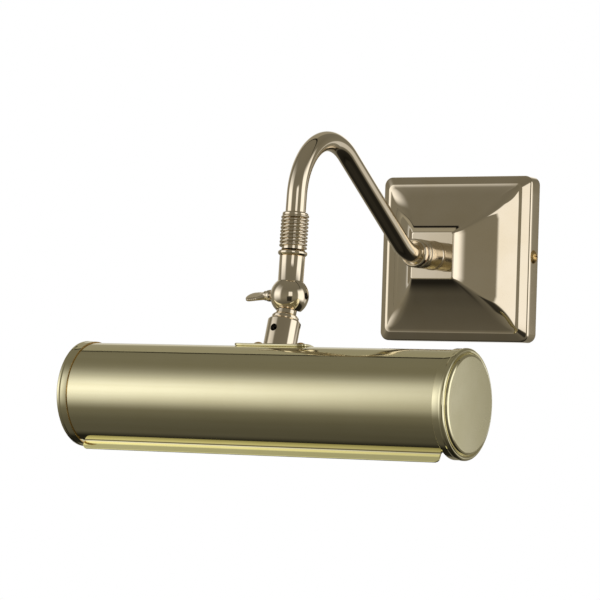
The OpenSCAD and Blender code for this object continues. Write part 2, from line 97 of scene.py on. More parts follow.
# %% A function that adds nodes, a socket that does sums, and a material
def add(tree, kind, settings=None, values=None):
    """Adds a node, gives its settings, and sets or links its sockets."""
    made = tree.nodes.new(kind)
    for key, value in (settings or {}).items():
        setattr(made, key, value)
    for key, value in (values or {}).items():
        if isinstance(value, bpy.types.NodeSocket):
            tree.links.new(value, made.inputs[key])
        else:
            made.inputs[key].default_value = value
    return made


class Term:
    """One shader socket, with the operators that the finishes use."""

    def __init__(self, finish, socket):
        self.finish = finish
        self.socket = socket

    def __add__(self, other):
        return self.finish.maths("ADD", self, other)

    def __radd__(self, other):
        return self.finish.maths("ADD", other, self)

    def __sub__(self, other):
        return self.finish.maths("SUBTRACT", self, other)

    def __rsub__(self, other):
        return self.finish.maths("SUBTRACT", other, self)

    def __mul__(self, other):
        return self.finish.maths("MULTIPLY", self, other)

    def __rmul__(self, other):
        return self.finish.maths("MULTIPLY", other, self)


class Finish:
    """A node material under construction."""

    def __init__(self, name):
        self.material = bpy.data.materials.new(name)
        self.material.use_nodes = True
        self.tree = self.material.node_tree
        self.tree.nodes.clear()
        self.output = self.tree.nodes.new("ShaderNodeOutputMaterial")

    def node(self, kind, settings=None, values=None, out=0):
        """Adds a node, and returns the output socket that the caller wants."""
        plain = {key: getattr(value, "socket", value) for key, value in (values or {}).items()}
        return Term(self, add(self.tree, kind, settings, plain).outputs[out])

    def maths(self, operation, first, second=0.0):
        return self.node("ShaderNodeMath", {"operation": operation}, {0: first, 1: second})

    def coordinates(self, stretch=(1, 1, 1), turn=(0, 0, 0)):
        here = self.node("ShaderNodeTexCoord", out="Object")
        return self.node(
            "ShaderNodeMapping", {}, {"Vector": here, "Rotation": turn, "Scale": stretch}
        )

    def noise(self, where, scale, detail=4.0, roughness=0.6):
        return self.node(
            "ShaderNodeTexNoise", {},
            {"Vector": where, "Scale": scale, "Detail": detail, "Roughness": roughness},
        )

    def ramp(self, value, *stops):
        """Turns a value into greys, which are given as (place, grey) stops."""
        made = self.node("ShaderNodeValToRGB", {}, {"Fac": value})
        elements = made.socket.node.color_ramp.elements
        while len(elements) < len(stops):
            elements.new(0.5)
        for element, (place, grey) in zip(elements, stops):
            element.position = place
            element.color = (grey, grey, grey, 1.0)
        return made

    def blend_colours(self, mask, first, second):
        return self.node(
            "ShaderNodeMix", {"data_type": "RGBA"}, {"Factor": mask, 6: (*first, 1), 7: (*second, 1)}, 2
        )

    def bump(self, height, strength, distance):
        return self.node(
            "ShaderNodeBump", {}, {"Height": height, "Strength": strength, "Distance": distance}
        )

    def surface(self, **values):
        shader = self.node("ShaderNodeBsdfPrincipled", {}, values)
        self.tree.links.new(shader.socket, self.output.inputs["Surface"])
        return self.material


print("finish helpers ready")

# %% [markdown]
# ## Plated metal
#
# Polished nickel over brass is a mirror with a warm, champagne tint. What keeps it from looking like
# computer chrome is small: a faint cloudiness left by wiping, hairline scratches that catch the light,
# and buffing lines along the way the wheel ran. All three are noises in object space. The long ones come
# from stretching the coordinates along the buffing direction. The shade's plating is yellower than the
# arm's, and the discs of its end caps are satin. Its lips are tinted warmer and brighter still, which is
# painted reflection: it stands in for light that bounces between lip and tube and comes back yellower.

# %% Polished and satin nickel, brass and steel
def plated(name, bright, deep, rough, smear, hairline, stretch, streaky=0.0):
    """bright and deep are the tint's two ends. smear and hairline are added roughness, and streaky is
    how much the long buffing streaks dull and darken the metal."""
    finish = Finish(name)
    cloud = finish.ramp(finish.noise(finish.coordinates(), 38.0, 5.0), (0.35, 0.0), (0.7, 1.0))
    lines = finish.noise(finish.coordinates(stretch), 900.0, 3.0, 0.55)
    streaks = finish.ramp(
        finish.noise(finish.coordinates(stretch), 160.0, 4.0, 0.7), (0.38, 0.0), (0.72, 1.0)
    )
    scratches = finish.ramp(
        finish.noise(finish.coordinates((1.0, 0.08, 1.0), (0.5, 0.3, 0.9)), 700.0, 2.0),
        (0.68, 0.0), (0.75, 1.0),
    )
    tint = finish.blend_colours(cloud * (1 - streaky) + streaks * streaky, bright, deep)
    roughness = rough + cloud * smear + lines * hairline + streaks * (streaky * 0.08) + scratches * 0.05
    relief = lines * 0.6 + streaks * streaky + scratches * 0.2
    return finish.surface(**{
        "Base Color": tint,
        "Metallic": 1.0,
        "Roughness": roughness,
        "Normal": finish.bump(relief, 0.12, 0.00002),
    })


SHADE_BRIGHT = (0.91, 0.86, 0.60)
SHADE_DEEP = (0.85, 0.79, 0.52)
NICKEL_BRIGHT = (0.91, 0.81, 0.66)
NICKEL_DEEP = (0.86, 0.75, 0.58)

# The lips' tint is painted reflection: warmer and brighter, for light bounced between lip and tube.
LIP_BOUNCE_BRIGHT = (0.99, 0.94, 0.50)
LIP_BOUNCE_DEEP = (0.96, 0.90, 0.44)
DISC_BRIGHT = (0.95, 0.90, 0.65)
DISC_DEEP = (0.90, 0.85, 0.58)

along_shade = (0.025, 1.0, 1.0)
round_caps = (1.0, 1.0, 0.25)
turned_rings = (0.02, 2.5, 0.02)
shade_nickel = plated(
    "shade_nickel", SHADE_BRIGHT, SHADE_DEEP, 0.02, 0.02, 0.04, along_shade, streaky=0.7
)
# Painted reflection: the lips' warmer tint stands in for light bounced between lip and tube.
lip_nickel = plated("lip_nickel", LIP_BOUNCE_BRIGHT, LIP_BOUNCE_DEEP, 0.02, 0.02, 0.04, along_shade)
rim_nickel = plated("rim_nickel", SHADE_BRIGHT, SHADE_DEEP, 0.02, 0.02, 0.03, round_caps)
disc_nickel = plated("disc_nickel", DISC_BRIGHT, DISC_DEEP, 0.17, 0.04, 0.08, round_caps)
plate_nickel = plated("plate_nickel", NICKEL_BRIGHT, NICKEL_DEEP, 0.012, 0.015, 0.02, (1.0, 0.3, 1.0))
arm_nickel = plated("arm_nickel", NICKEL_BRIGHT, NICKEL_DEEP, 0.012, 0.015, 0.02, (1.0, 1.0, 0.2))
satin_nickel = plated("satin_nickel", NICKEL_BRIGHT, NICKEL_DEEP, 0.14, 0.03, 0.10, turned_rings)
screw_brass = plated(
    "screw_brass", (0.80, 0.56, 0.24), (0.62, 0.40, 0.15), 0.20, 0.12, 0.10, (0.3, 1.0, 1.0)
)
zinc_plate = plated("zinc_plate", (0.62, 0.64, 0.66), (0.50, 0.52, 0.56), 0.34, 0.14, 0.08, (0.2, 1, 1))
spring_steel = plated(
    "spring_steel", (0.42, 0.42, 0.44), (0.30, 0.30, 0.32), 0.30, 0.12, 0.10, (1.0, 0.2, 1.0)
)
# Black oxide for the grub screw. The same black is painted shade on the thumb screw's sunk tip.
black_oxide = plated(
    "black_oxide", (0.045, 0.043, 0.04), (0.02, 0.02, 0.02), 0.38, 0.15, 0.10, (1, 1, 0.2)
)
print("metals made:", len(bpy.data.materials))

# %% [markdown]
# ## Insulators, sleeving and glass
#
# Inside the plate and the shade there is moulded thermoplastic, PVC sleeving, a pressed fibre washer and
# the lamp's glass. They aren't metallic, so their colour sits in the body and the gloss lies on top. A
# fine noise breaks the gloss up as a mould's texture does.

# %% Moulded, pressed and drawn materials
def moulded(name, light, dark, rough, grain, relief):
    """A matt or half-matt material, patchy between two colours, with a fine grain in its gloss."""
    finish = Finish(name)
    where = finish.coordinates()
    patches = finish.noise(where, 60.0, 4.0)
    texture = finish.noise(where, grain, 3.0)
    return finish.surface(**{
        "Base Color": finish.blend_colours(patches, light, dark),
        "Roughness": rough + patches * 0.08 + texture * 0.06,
        "Normal": finish.bump(texture, 0.25, relief),
    })


def clear_glass(name):
    finish = Finish(name)
    haze = finish.noise(finish.coordinates(), 90.0, 3.0)
    return finish.surface(**{
        "Base Color": (0.97, 0.97, 0.95, 1.0),
        "Roughness": 0.02 + haze * 0.03,
        "Transmission Weight": 1.0,
        "IOR": 1.5,
        "Normal": finish.bump(haze, 0.05, 0.0001),
    })


white_moulding = moulded("white_moulding", (0.82, 0.80, 0.73), (0.74, 0.71, 0.63), 0.38, 1500.0, 0.00003)
lead_sleeving = moulded("lead_sleeving", (0.86, 0.83, 0.72), (0.78, 0.74, 0.62), 0.32, 700.0, 0.00004)
pressed_fibre = moulded("pressed_fibre", (0.42, 0.14, 0.08), (0.27, 0.08, 0.05), 0.62, 2200.0, 0.00006)
lamp_clear = clear_glass("lamp_clear")
print("materials in all:", len(bpy.data.materials))

# %% [markdown]
# ## Turned pieces
#
# Most of this light came off a lathe or a spinning chuck, so most of it is an outline swept round an
# axis. The outline is a list of corners, each with the radius that the tool left on it. One function
# turns each corner into a short arc, and another spins the outline. Real edges are never dead sharp, and
# that small radius is what draws the bright line along every rim.

# %% Outlines with rounded corners
def corner_arc(before, corner, after, radius, steps):
    """The arc that a radius puts on a corner, or the corner itself if it has none."""
    into = before - corner
    out = after - corner
    if radius <= 0 or into.length < 1e-6 or out.length < 1e-6:
        return [corner]
    into.normalize()
    out.normalize()
    half = into.angle(out) / 2
    reach = radius / math.tan(half)
    centre = corner + (into + out).normalized() * (radius / math.sin(half))
    start = corner + into * reach - centre
    end = corner + out * reach - centre
    turn = start.angle_signed(end)
    arc = []
    for step in range(steps + 1):
        angle = -turn * step / steps
        arc.append(centre + Matrix.Rotation(angle, 2) @ start)
    return arc


def rounded(corners, steps=6, closed=True):
    """corners are (x, y) or (x, y, radius); returns 2-D points with the arcs filled in."""
    spots = [Vector(corner[:2]) for corner in corners]
    radii = [corner[2] if len(corner) > 2 else 0.0 for corner in corners]
    last = len(spots) - 1
    line = []
    for i, spot in enumerate(spots):
        if not closed and i in (0, last):
            line.append(spot)
            continue
        line += corner_arc(spots[i - 1], spot, spots[(i + 1) % len(spots)], radii[i], steps)
    return line


def arc_points(centre, radius, start, end, steps):
    """Points on an arc, from start to end in degrees."""
    points = []
    for step in range(steps + 1):
        angle = math.radians(start + (end - start) * step / steps)
        points.append((centre[0] + radius * math.cos(angle), centre[1] + radius * math.sin(angle)))
    return points


test_outline = rounded([(0, 0, 1), (10, 0, 1), (10, 10, 1), (0, 10, 1)])
print("a square with four rounded corners has", len(test_outline), "points")

# %% Build, spin, cut and finish a mesh
def in_scene(name, data):
    """An object in the scene for a mesh, a curve or a camera."""
    made = bpy.data.objects.new(name, data)
    scene.collection.objects.link(made)
    return made


def new_piece(name, verts, faces, material, place=None, sharp=35.0):
    """A mesh object in the scene. place carries the points from millimetres to the frame's metres."""
    mesh = bpy.data.meshes.new(name)
    mesh.from_pydata([tuple(vert) for vert in verts], [], faces)
    piece = in_scene(name, mesh)
    mesh.materials.append(material)
    if place is not None:
        mesh.transform(place)
    tidy_mesh(mesh, sharp)
    return piece


def tidy_mesh(mesh, sharp):
    """Merges doubles, points the faces outwards and smooths all but the sharp edges."""
    work = bmesh.new()
    work.from_mesh(mesh)
    bmesh.ops.remove_doubles(work, verts=work.verts, dist=1e-7)
    bmesh.ops.recalc_face_normals(work, faces=work.faces)
    work.to_mesh(mesh)
    work.free()
    mesh.shade_smooth()
    mesh.set_sharp_from_angle(angle=math.radians(sharp))


def spun(name, outline, material, place, steps=96, sharp=35.0):
    """An outline of (radius, height) points swept round the height axis. It is a closed loop, or
    starts and ends on the axis."""
    points = [(max(point[0], 0.0), point[1]) for point in outline]
    on_axis = points[0][0] < 1e-6 and points[-1][0] < 1e-6
    verts = []
    for step in range(steps):
        angle = 2 * math.pi * step / steps
        verts += [(r * math.cos(angle), r * math.sin(angle), z) for r, z in points]
    count = len(points)
    rows = count - 1 if on_axis else count
    faces = []
    for step in range(steps):
        here, there = step * count, (step + 1) % steps * count
        for row in range(rows):
            after = (row + 1) % count
            faces.append((here + row, there + row, there + after, here + after))
    return new_piece(name, verts, faces, material, place, sharp)


def between_loops(loops, count, closed=True):
    """The faces that join each loop of points to the next one."""
    faces = []
    for loop in range(loops - 1):
        here, there = loop * count, (loop + 1) * count
        for i in range(count if closed else count - 1):
            j = (i + 1) % count
            faces.append((here + i, here + j, there + j, there + i))
    return faces


def settle(piece, sharp=None):
    """Applies a piece's modifiers, so that a plain mesh is left."""
    graph = bpy.context.evaluated_depsgraph_get()
    mesh = bpy.data.meshes.new_from_object(piece.evaluated_get(graph))
    piece.modifiers.clear()
    old = piece.data
    piece.data = mesh
    bpy.data.meshes.remove(old)
    mesh.name = piece.name
    if sharp is not None:
        tidy_mesh(mesh, sharp)
    return piece


def face_out(piece, face, way):
    """Turns the piece's faces over if the given one doesn't look the given way."""
    if face.normal.dot(way) < 0:
        piece.data.flip_normals()


def thicken(piece, thickness, even=False):
    """Gives a surface the thickness of its sheet, inwards from the faces as drawn."""
    sheet = piece.modifiers.new("sheet", "SOLIDIFY")
    sheet.thickness = thickness * MM
    sheet.offset = -1.0
    sheet.use_even_offset = even
    return settle(piece)


def coat(piece, material, chosen):
    """Gives one more finish to the faces whose middles are chosen."""
    materials = piece.data.materials
    materials.append(material)
    for face in piece.data.polygons:
        if chosen(face.center):
            face.material_index = len(materials) - 1


def cut(piece, *cutters, crease=32.0):
    """Takes each cutter away from the piece, then deletes the cutters."""
    for cutter in cutters:
        step = piece.modifiers.new("cut", "BOOLEAN")
        step.operation = "DIFFERENCE"
        step.solver = "EXACT"
        step.object = cutter
    settle(piece, crease)
    for cutter in cutters:
        bpy.data.objects.remove(cutter)
    return piece


def stands_for(piece, body, slot, *nodes):
    """Every remade piece rides on a body and stands for CAD nodes, which are hidden. slot is not used."""
    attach(piece, body)
    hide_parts(*nodes)
    print(piece.name, "for", ", ".join(nodes), "-", len(piece.data.polygons), "faces")
    return piece


print("mesh helpers ready")

# %% [markdown]
# ## The wall cover
#
# The plate's cover is pressed from sheet: a straight rim, a small step, four hollow faces and a flat
# boss. Every level of it is a rounded square, so it is a loft. Each level has a half width, a depth and
# a corner radius. Between the hollow faces the corner radius swells and dies away again towards the boss
# and the step, which gives the soft hips that a press tool leaves. One screw holds the cover on the
# right. On the left it only hooks over a pip on the strap, so that side has a plain hole.

# %% Loft the wall cover
PLATE_HALF = 52.5
STEP_HALF, STEP_DEPTH = 46.2, 15.0
BOSS_HALF, BOSS_DEPTH = 14.75, 43.8
COVE_RADIUS = 75.0
PLATE_CORNER, HIP_FOOT, HIP_SWELL = 5.5, 1.2, 8.5
COVER_SHEET = 1.2
STEM_HOLE = 5.3
PIP_HOLE, PIP_HOLE_REACH = 2.25, 5.0


def rounded_square(half, radius, side_steps=14, corner_steps=10):
    """The points of a rounded square, the same number for every size."""
    points = []
    straight = half - radius
    for quarter in range(4):
        spin = Matrix.Rotation(-math.radians(90 * quarter), 2)
        for step in range(corner_steps):
            angle = math.radians(90 * step / corner_steps)
            corner = Vector((straight + radius * math.cos(angle), straight + radius * math.sin(angle)))
            points.append(spin.inverted() @ corner)
        for step in range(side_steps):
            along = straight - 2 * straight * step / side_steps
            points.append(spin.inverted() @ Vector((along, half)))
    return points


def cove(start, end, radius, steps=36):
    """The hollow arc from the step to the boss, as (half width, depth) points."""
    start, end = Vector(start), Vector(end)
    chord = end - start
    away = Vector((-chord.y, chord.x)).normalized()
    if away.x < 0:
        away = -away
    centre = (start + end) / 2 + away * math.sqrt(radius ** 2 - chord.length_squared / 4)
    first = start - centre
    turn = first.angle_signed(end - centre)
    return [centre + Matrix.Rotation(-turn * i / steps, 2) @ first for i in range(steps + 1)]


def corner_radius(half):
    """The corner radius of a level: the plate's own at the rim, and a swelling hip in the hollow."""
    outwards = (half - BOSS_HALF) / (STEP_HALF - BOSS_HALF)
    hip = HIP_FOOT + HIP_SWELL * outwards * (1.0 - outwards ** 6) if outwards < 1.0 else 0.0
    return max(PLATE_CORNER - (PLATE_HALF - half) * 0.35, HIP_FOOT + 1.8 * outwards, hip)


def make_wall_cover():
    """Lofts the outside from the wall to the hole in the boss, then gives the sheet its thickness."""
    rim = rounded([
        (PLATE_HALF, 0.0), (PLATE_HALF, 0.3), (PLATE_HALF, 9.6), (PLATE_HALF, 11.4, 2.4), (48.1, 14.3, 0.5),
        (47.3, 14.8, 0.3), (STEP_HALF, STEP_DEPTH)
    ], steps=10, closed=False)
    hollow = cove((STEP_HALF, STEP_DEPTH), (BOSS_HALF + 0.5, BOSS_DEPTH - 0.9), COVE_RADIUS)
    edge = [(BOSS_HALF + 0.28, BOSS_DEPTH - 0.45), (BOSS_HALF, BOSS_DEPTH - 0.14),
            (BOSS_HALF - 0.4, BOSS_DEPTH), (BOSS_HALF - 0.8, BOSS_DEPTH)]
    profile = [tuple(point) for point in rim[:-1] + hollow] + edge
    verts = []
    for half, depth in profile:
        verts += [(p.x, p.y, depth) for p in rounded_square(half, corner_radius(half))]
    boss_square = rounded_square(BOSS_HALF - 0.8, 1.1)
    for blend in (0.35, 0.7, 1.0):
        for p in boss_square:
            spot = p.lerp(p.normalized() * STEM_HOLE, blend)
            verts.append((spot.x, spot.y, BOSS_DEPTH))
    around = len(boss_square)
    faces = between_loops(len(verts) // around, around)
    piece = new_piece("wall_cover_pressed", verts, faces, plate_nickel, ON_WALL, 60.0)
    rim_face = piece.data.polygons[0]
    face_out(piece, rim_face, rim_face.center - Vector((0, -0.02, 0)))
    return thicken(piece, COVER_SHEET)


side_low, side_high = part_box("cover_screw")
side_y = (side_low.y + side_high.y) / 2
side_z = (side_low.z + side_high.z) / 2
on_left = Matrix.Translation((-PLATE_HALF * MM, side_y, side_z)) @ to_metres
pip_hole = spun(
    "pip_hole",
    [(0, -PIP_HOLE_REACH), (PIP_HOLE, -PIP_HOLE_REACH), (PIP_HOLE, PIP_HOLE_REACH), (0, PIP_HOLE_REACH)],
    plate_nickel, on_left @ TURN_TO_X, 48
)
wall_cover = cut(make_wall_cover(), pip_hole, crease=60.0)
stands_for(wall_cover, "wall_plate", "polished_nickel", "wall_cover")

# %% [markdown]
# ## The wall swivel
#
# A long satin collar stands on the boss, and the arm's own end ring turns against it. Both are lathe
# work: a bead at the foot, a groove near the front, and a dished front face where the tube goes in.

# %% Turn the collar and the arm's end ring
COLLAR_BACK = BOSS_DEPTH + SEAT_GAP
COLLAR_FRONT = 64.0
STEM_FIT = 5.05

collar = spun("swivel_collar_turned", rounded([
    (STEM_FIT, COLLAR_BACK), (9.2, COLLAR_BACK, 0.5), (9.3, COLLAR_BACK + 1.4, 0.6),
    (8.95, COLLAR_BACK + 2.1, 0.3), (9.05, COLLAR_FRONT - 4.2, 0.4), (8.5, COLLAR_FRONT - 3.6, 0.3),
    (8.5, COLLAR_FRONT - 2.9, 0.3), (9.1, COLLAR_FRONT - 2.3, 0.5), (9.1, COLLAR_FRONT - 0.6, 0.6),
    (8.3, COLLAR_FRONT, 0.4), (STEM_FIT, COLLAR_FRONT)
], steps=5), satin_nickel, ON_WALL)
stands_for(collar, "wall_plate", "polished_nickel", "swivel_collar")

RING_BACK, RING_FRONT = 64.82, 69.8
ARM_RADIUS = 5.9
end_ring = spun("arm_end_ring_turned", rounded([
    (5.02, RING_BACK), (8.3, RING_BACK, 0.3), (8.95, RING_BACK + 1.2, 0.7), (8.95, RING_FRONT - 0.9, 0.8),
    (7.9, RING_FRONT, 0.5), (7.3, RING_FRONT - 0.7, 0.4), (ARM_RADIUS + 0.05, RING_FRONT - 0.9),
    (ARM_RADIUS + 0.05, RING_BACK + 2.0), (5.02, RING_BACK + 2.0)
], steps=5), arm_nickel, ON_WALL)
stands_for(end_ring, "arm", "polished_nickel", "arm_end_ring")

# %% [markdown]
# ## The arm
#
# The arm is one tube bent twice. It follows a path, so Geometry Nodes make it: the path comes in as a
# chain of edges, a circle of the tube's radius is swept along it, and the wall gets its thickness
# afterwards. The path is worked out the way a bender reads a drawing: straight, bend, straight, bend,
# straight.

# %% A node tree that sweeps a tube along a path
def node_tree(name, *inputs):
    """An empty geometry tree with a geometry input and the named number inputs."""
    tree = bpy.data.node_groups.new(name, "GeometryNodeTree")
    tree.interface.new_socket("Geometry", in_out="INPUT", socket_type="NodeSocketGeometry")
    for label, kind in inputs:
        tree.interface.new_socket(label, in_out="INPUT", socket_type=kind)
    tree.interface.new_socket("Geometry", in_out="OUTPUT", socket_type="NodeSocketGeometry")
    return tree


def end_tree(tree, geometry, material):
    """Every tree ends in real geometry with its material on it."""
    real = add(tree, "GeometryNodeRealizeInstances", {}, {0: geometry})
    smooth = add(tree, "GeometryNodeSetShadeSmooth", {}, {0: real.outputs[0]})
    coated = add(tree, "GeometryNodeSetMaterial", {}, {0: smooth.outputs[0], "Material": material})
    add(tree, "NodeGroupOutput", {}, {0: coated.outputs[0]})


def grow(piece, tree, **sizes):
    """Puts a tree on a piece, sets its inputs by identifier, and keeps the resulting mesh."""
    step = piece.modifiers.new(tree.name, "NODES")
    step.node_group = tree
    sockets = {item.name: item.identifier for item in tree.interface.items_tree if item.in_out == "INPUT"}
    for label, value in sizes.items():
        step[sockets[label]] = value
    return settle(piece)


def tube_tree(material):
    tree = node_tree("tube_along_path", ("radius", "NodeSocketFloat"), ("sides", "NodeSocketInt"))
    given = add(tree, "NodeGroupInput")
    path = add(tree, "GeometryNodeMeshToCurve", {}, {0: given.outputs["Geometry"]})
    ring = add(tree, "GeometryNodeCurvePrimitiveCircle", {"mode": "RADIUS"}, {
        "Resolution": given.outputs["sides"], "Radius": given.outputs["radius"]})
    swept = add(tree, "GeometryNodeCurveToMesh", {}, {
        "Curve": path.outputs[0], "Profile Curve": ring.outputs[0], "Fill Caps": False})
    end_tree(tree, swept.outputs[0], material)
    return tree


arm_sweep = tube_tree(arm_nickel)
print("tree", arm_sweep.name, "has", len(arm_sweep.nodes), "nodes")

# %% Bend the arm
TUBE_WALL = 1.0
WALL_RUN = 69.7
WALL_BEND = 30.0
SLOPE = math.radians(33.6)
SLOPE_LENGTH = 85.4
CROOK = 38.0
LEG_LENGTH = 58.4


def bend(start, heading, radius, turn, steps):
    """Points of a bend in the arm's plane. turn is positive to the left of the heading."""
    side = 1 if turn > 0 else -1
    normal = Vector((-heading.y, heading.x)) * side
    centre = start + normal * radius
    points = []
    for step in range(1, steps + 1):
        angle = turn * step / steps
        points.append(centre + Matrix.Rotation(-angle, 2).inverted() @ (start - centre))
    return points


def arm_path(reach_back, foot):
    """The arm's centreline as (outwards, up) points: outwards is away from the wall."""
    heading = Vector((1.0, 0.0))
    path = [Vector((WALL_RUN - reach_back, 0.0)), Vector((WALL_RUN, 0.0))]
    path += bend(path[-1], heading, WALL_BEND, SLOPE, 24)
    heading = Vector((math.cos(SLOPE), math.sin(SLOPE)))
    slope_start = path[-1]
    path += [slope_start + heading * SLOPE_LENGTH * i / 12 for i in range(1, 13)]
    crook_turn = -(math.radians(90) + SLOPE - leg_tilt)
    path += bend(path[-1], heading, CROOK, crook_turn, 72)
    down = Vector((math.sin(leg_tilt), -math.cos(leg_tilt)))
    leg_start = path[-1]
    run = LEG_LENGTH - foot
    path += [leg_start + down * run * i / 6 for i in range(1, 7)]
    return path


route = arm_path(2.9, 13.1)
verts = [(0.0, -point.x * MM, point.y * MM) for point in route]
arm_mesh = bpy.data.meshes.new("arm_tube_bent")
arm_mesh.from_pydata(verts, [(i, i + 1) for i in range(len(verts) - 1)], [])
arm = in_scene("arm_tube_bent", arm_mesh)
grow(arm, arm_sweep, radius=ARM_RADIUS * MM, sides=56)
thicken(arm, TUBE_WALL)
tidy_mesh(arm.data, 50.0)
stands_for(arm, "arm", "polished_nickel", "arm_tube")
leg_foot = Vector(verts[-1])
print("tube ends %.2f mm from the ball's centre" % ((leg_foot - ball).length / MM))

# %% [markdown]
# ## The ribbed sleeve
#
# The sleeve that hides the joint between tube and knuckle carries a fine rolled spiral between a bead
# below and a ring above. The spiral is a curve with a small round section, which Geometry Nodes sweep
# and join to the turned core.

# %% Turn the sleeve's core and wind its spiral
SLEEVE_FOOT, SLEEVE_TOP = 23.3, 48.6
RIB_START, RIB_PITCH, RIB_TURNS = 27.9, 2.04, 9.4
RIB_CREST, RIB_RADIUS = 8.15, 0.74

sleeve = spun("ribbed_sleeve_turned", rounded([
    (5.95, SLEEVE_FOOT), (7.6, SLEEVE_FOOT, 0.3), (8.5, SLEEVE_FOOT + 0.9, 0.8),
    (8.5, SLEEVE_FOOT + 2.2, 0.8), (7.4, SLEEVE_FOOT + 3.0, 0.3), (6.6, SLEEVE_FOOT + 3.7, 0.2),
    (6.6, SLEEVE_TOP - 3.9, 0.4), (6.5, SLEEVE_TOP - 3.2, 0.3), (6.5, SLEEVE_TOP - 2.5, 0.3),
    (7.5, SLEEVE_TOP - 2.1, 0.7), (7.5, SLEEVE_TOP - 0.5, 0.8), (6.5, SLEEVE_TOP, 0.3),
    (5.95, SLEEVE_TOP - 0.1)
], steps=5), arm_nickel, ON_LEG)


def spiral_tree(material):
    tree = node_tree(
        "rolled_spiral", ("turns", "NodeSocketFloat"), ("pitch", "NodeSocketFloat"),
        ("path radius", "NodeSocketFloat"), ("rib radius", "NodeSocketFloat"),
        ("foot", "NodeSocketVector"), ("tilt", "NodeSocketVector"),
    )
    given = add(tree, "NodeGroupInput")
    height = add(tree, "ShaderNodeMath", {"operation": "MULTIPLY"}, {
        0: given.outputs["turns"], 1: given.outputs["pitch"]})
    spiral = add(tree, "GeometryNodeCurveSpiral", {}, {
        "Resolution": 48, "Rotations": given.outputs["turns"],
        "Start Radius": given.outputs["path radius"], "End Radius": given.outputs["path radius"],
        "Height": height.outputs[0], "Reverse": True})
    ring = add(tree, "GeometryNodeCurvePrimitiveCircle", {"mode": "RADIUS"}, {
        "Resolution": 10, "Radius": given.outputs["rib radius"]})
    wound = add(tree, "GeometryNodeCurveToMesh", {}, {
        "Curve": spiral.outputs[0], "Profile Curve": ring.outputs[0], "Fill Caps": True})
    placed = add(tree, "GeometryNodeTransform", {}, {
        0: wound.outputs[0], "Translation": given.outputs["foot"], "Rotation": given.outputs["tilt"]})
    joined = add(tree, "GeometryNodeJoinGeometry", {}, {0: given.outputs["Geometry"]})
    tree.links.new(placed.outputs[0], joined.inputs[0])
    end_tree(tree, joined.outputs[0], material)
    return tree


rib_foot = ON_LEG @ Vector((0, 0, RIB_START))
grow(
    sleeve, spiral_tree(arm_nickel), **{
        "turns": RIB_TURNS, "pitch": RIB_PITCH * MM, "path radius": (RIB_CREST - RIB_RADIUS) * MM,
        "rib radius": RIB_RADIUS * MM, "foot": rib_foot, "tilt": Vector((-leg_tilt, 0, 0)),
    }
)
sleeve.data.set_sharp_from_angle(angle=math.radians(60))
stands_for(sleeve, "arm", "polished_nickel", "ribbed_sleeve")

# %% [markdown]
# ## The knuckle
#
# The knuckle is a hollow ball on a short cylinder. The shade hangs from an inner ball whose neck comes
# out through the flat at the bottom, and a slot cut up the back lets that neck swing towards the wall.
# The slot is the shape that the neck sweeps, so the cutters are a round bar at each end of the swing and
# a sector between them.

# %% Turn, hollow and slot the ball
BALL, BALL_FLAT, CAVITY = 11.2, 8.9, 9.0
NECK, SLOT_HALF = 5.85, 6.15
PIN_HOLE, PIN_REACH = 2.05, 13
low_limit, high_limit = joints["shade_tilt"]["range_deg"]
swing_low = math.degrees(leg_tilt - lean) + low_limit
swing_high = math.degrees(leg_tilt - lean) + high_limit


def bar(radius, length, place, steps=64):
    """A plain round cutter along the local height axis."""
    outline = [(0, 0), (radius, 0), (radius, length), (0, length)]
    return spun("cutter", outline, arm_nickel, place, steps)


def sector(half_width, reach, start, end, place):
    """A fan of the given width, from start to end in degrees back from straight down."""
    steps = max(2, int(abs(end - start) / 3))
    verts = []
    for x in (-half_width, half_width):
        verts.append((x, 0, 0))
        for step in range(steps + 1):
            angle = math.radians(start + (end - start) * step / steps)
            verts.append((x, reach * math.sin(angle), -reach * math.cos(angle)))
    count = steps + 2
    faces = [tuple(range(count - 1, -1, -1)), tuple(range(count, 2 * count))]
    return new_piece("cutter", verts, faces + between_loops(2, count), arm_nickel, place)


floor_half = math.sqrt(BALL ** 2 - BALL_FLAT ** 2)
floor_angle = -math.degrees(math.atan2(BALL_FLAT, floor_half))
shoulder_half = 7.4
shoulder_angle = math.degrees(math.acos(shoulder_half / BALL))
ball_outline = [(0, -BALL_FLAT), (floor_half - 0.35, -BALL_FLAT)]
ball_outline += arc_points((0, 0), BALL, floor_angle + 1.2, shoulder_angle - 1.5, 48)
ball_outline += [tuple(p) for p in rounded([
    (shoulder_half, 8.6), (shoulder_half, 22.8, 0.0), (7.0, 23.2, 0.0), (5.95, 23.2), (5.95, 13.0),
    (4.0, 13.0), (4.0, 8.0)
], closed=False)]
knuckle = spun("knuckle_ball_turned", ball_outline + [(0, 8.0)], arm_nickel, ON_LEG, 112)
hollow = spun("cutter", arc_points((0, 0), CAVITY, -90, 90, 40), arm_nickel, ON_LEG, 72)
swing_bars = [
    bar(SLOT_HALF, 2 * BALL, ON_LEG @ Matrix.Rotation(math.radians(angle + 180), 4, "X"))
    for angle in (swing_low, swing_high)
]
swing_fan = sector(SLOT_HALF - 0.004, 2 * BALL, swing_low + 0.3, swing_high - 0.3, ON_LEG)
ACROSS = Matrix.Translation((-PIN_REACH, 0, 0)) @ TURN_TO_X
pin_hole = bar(PIN_HOLE, 2 * PIN_REACH, ON_LEG @ ACROSS, 40)
cut(knuckle, hollow, *swing_bars, swing_fan, pin_hole)
stands_for(knuckle, "arm", "polished_nickel", "knuckle_ball")

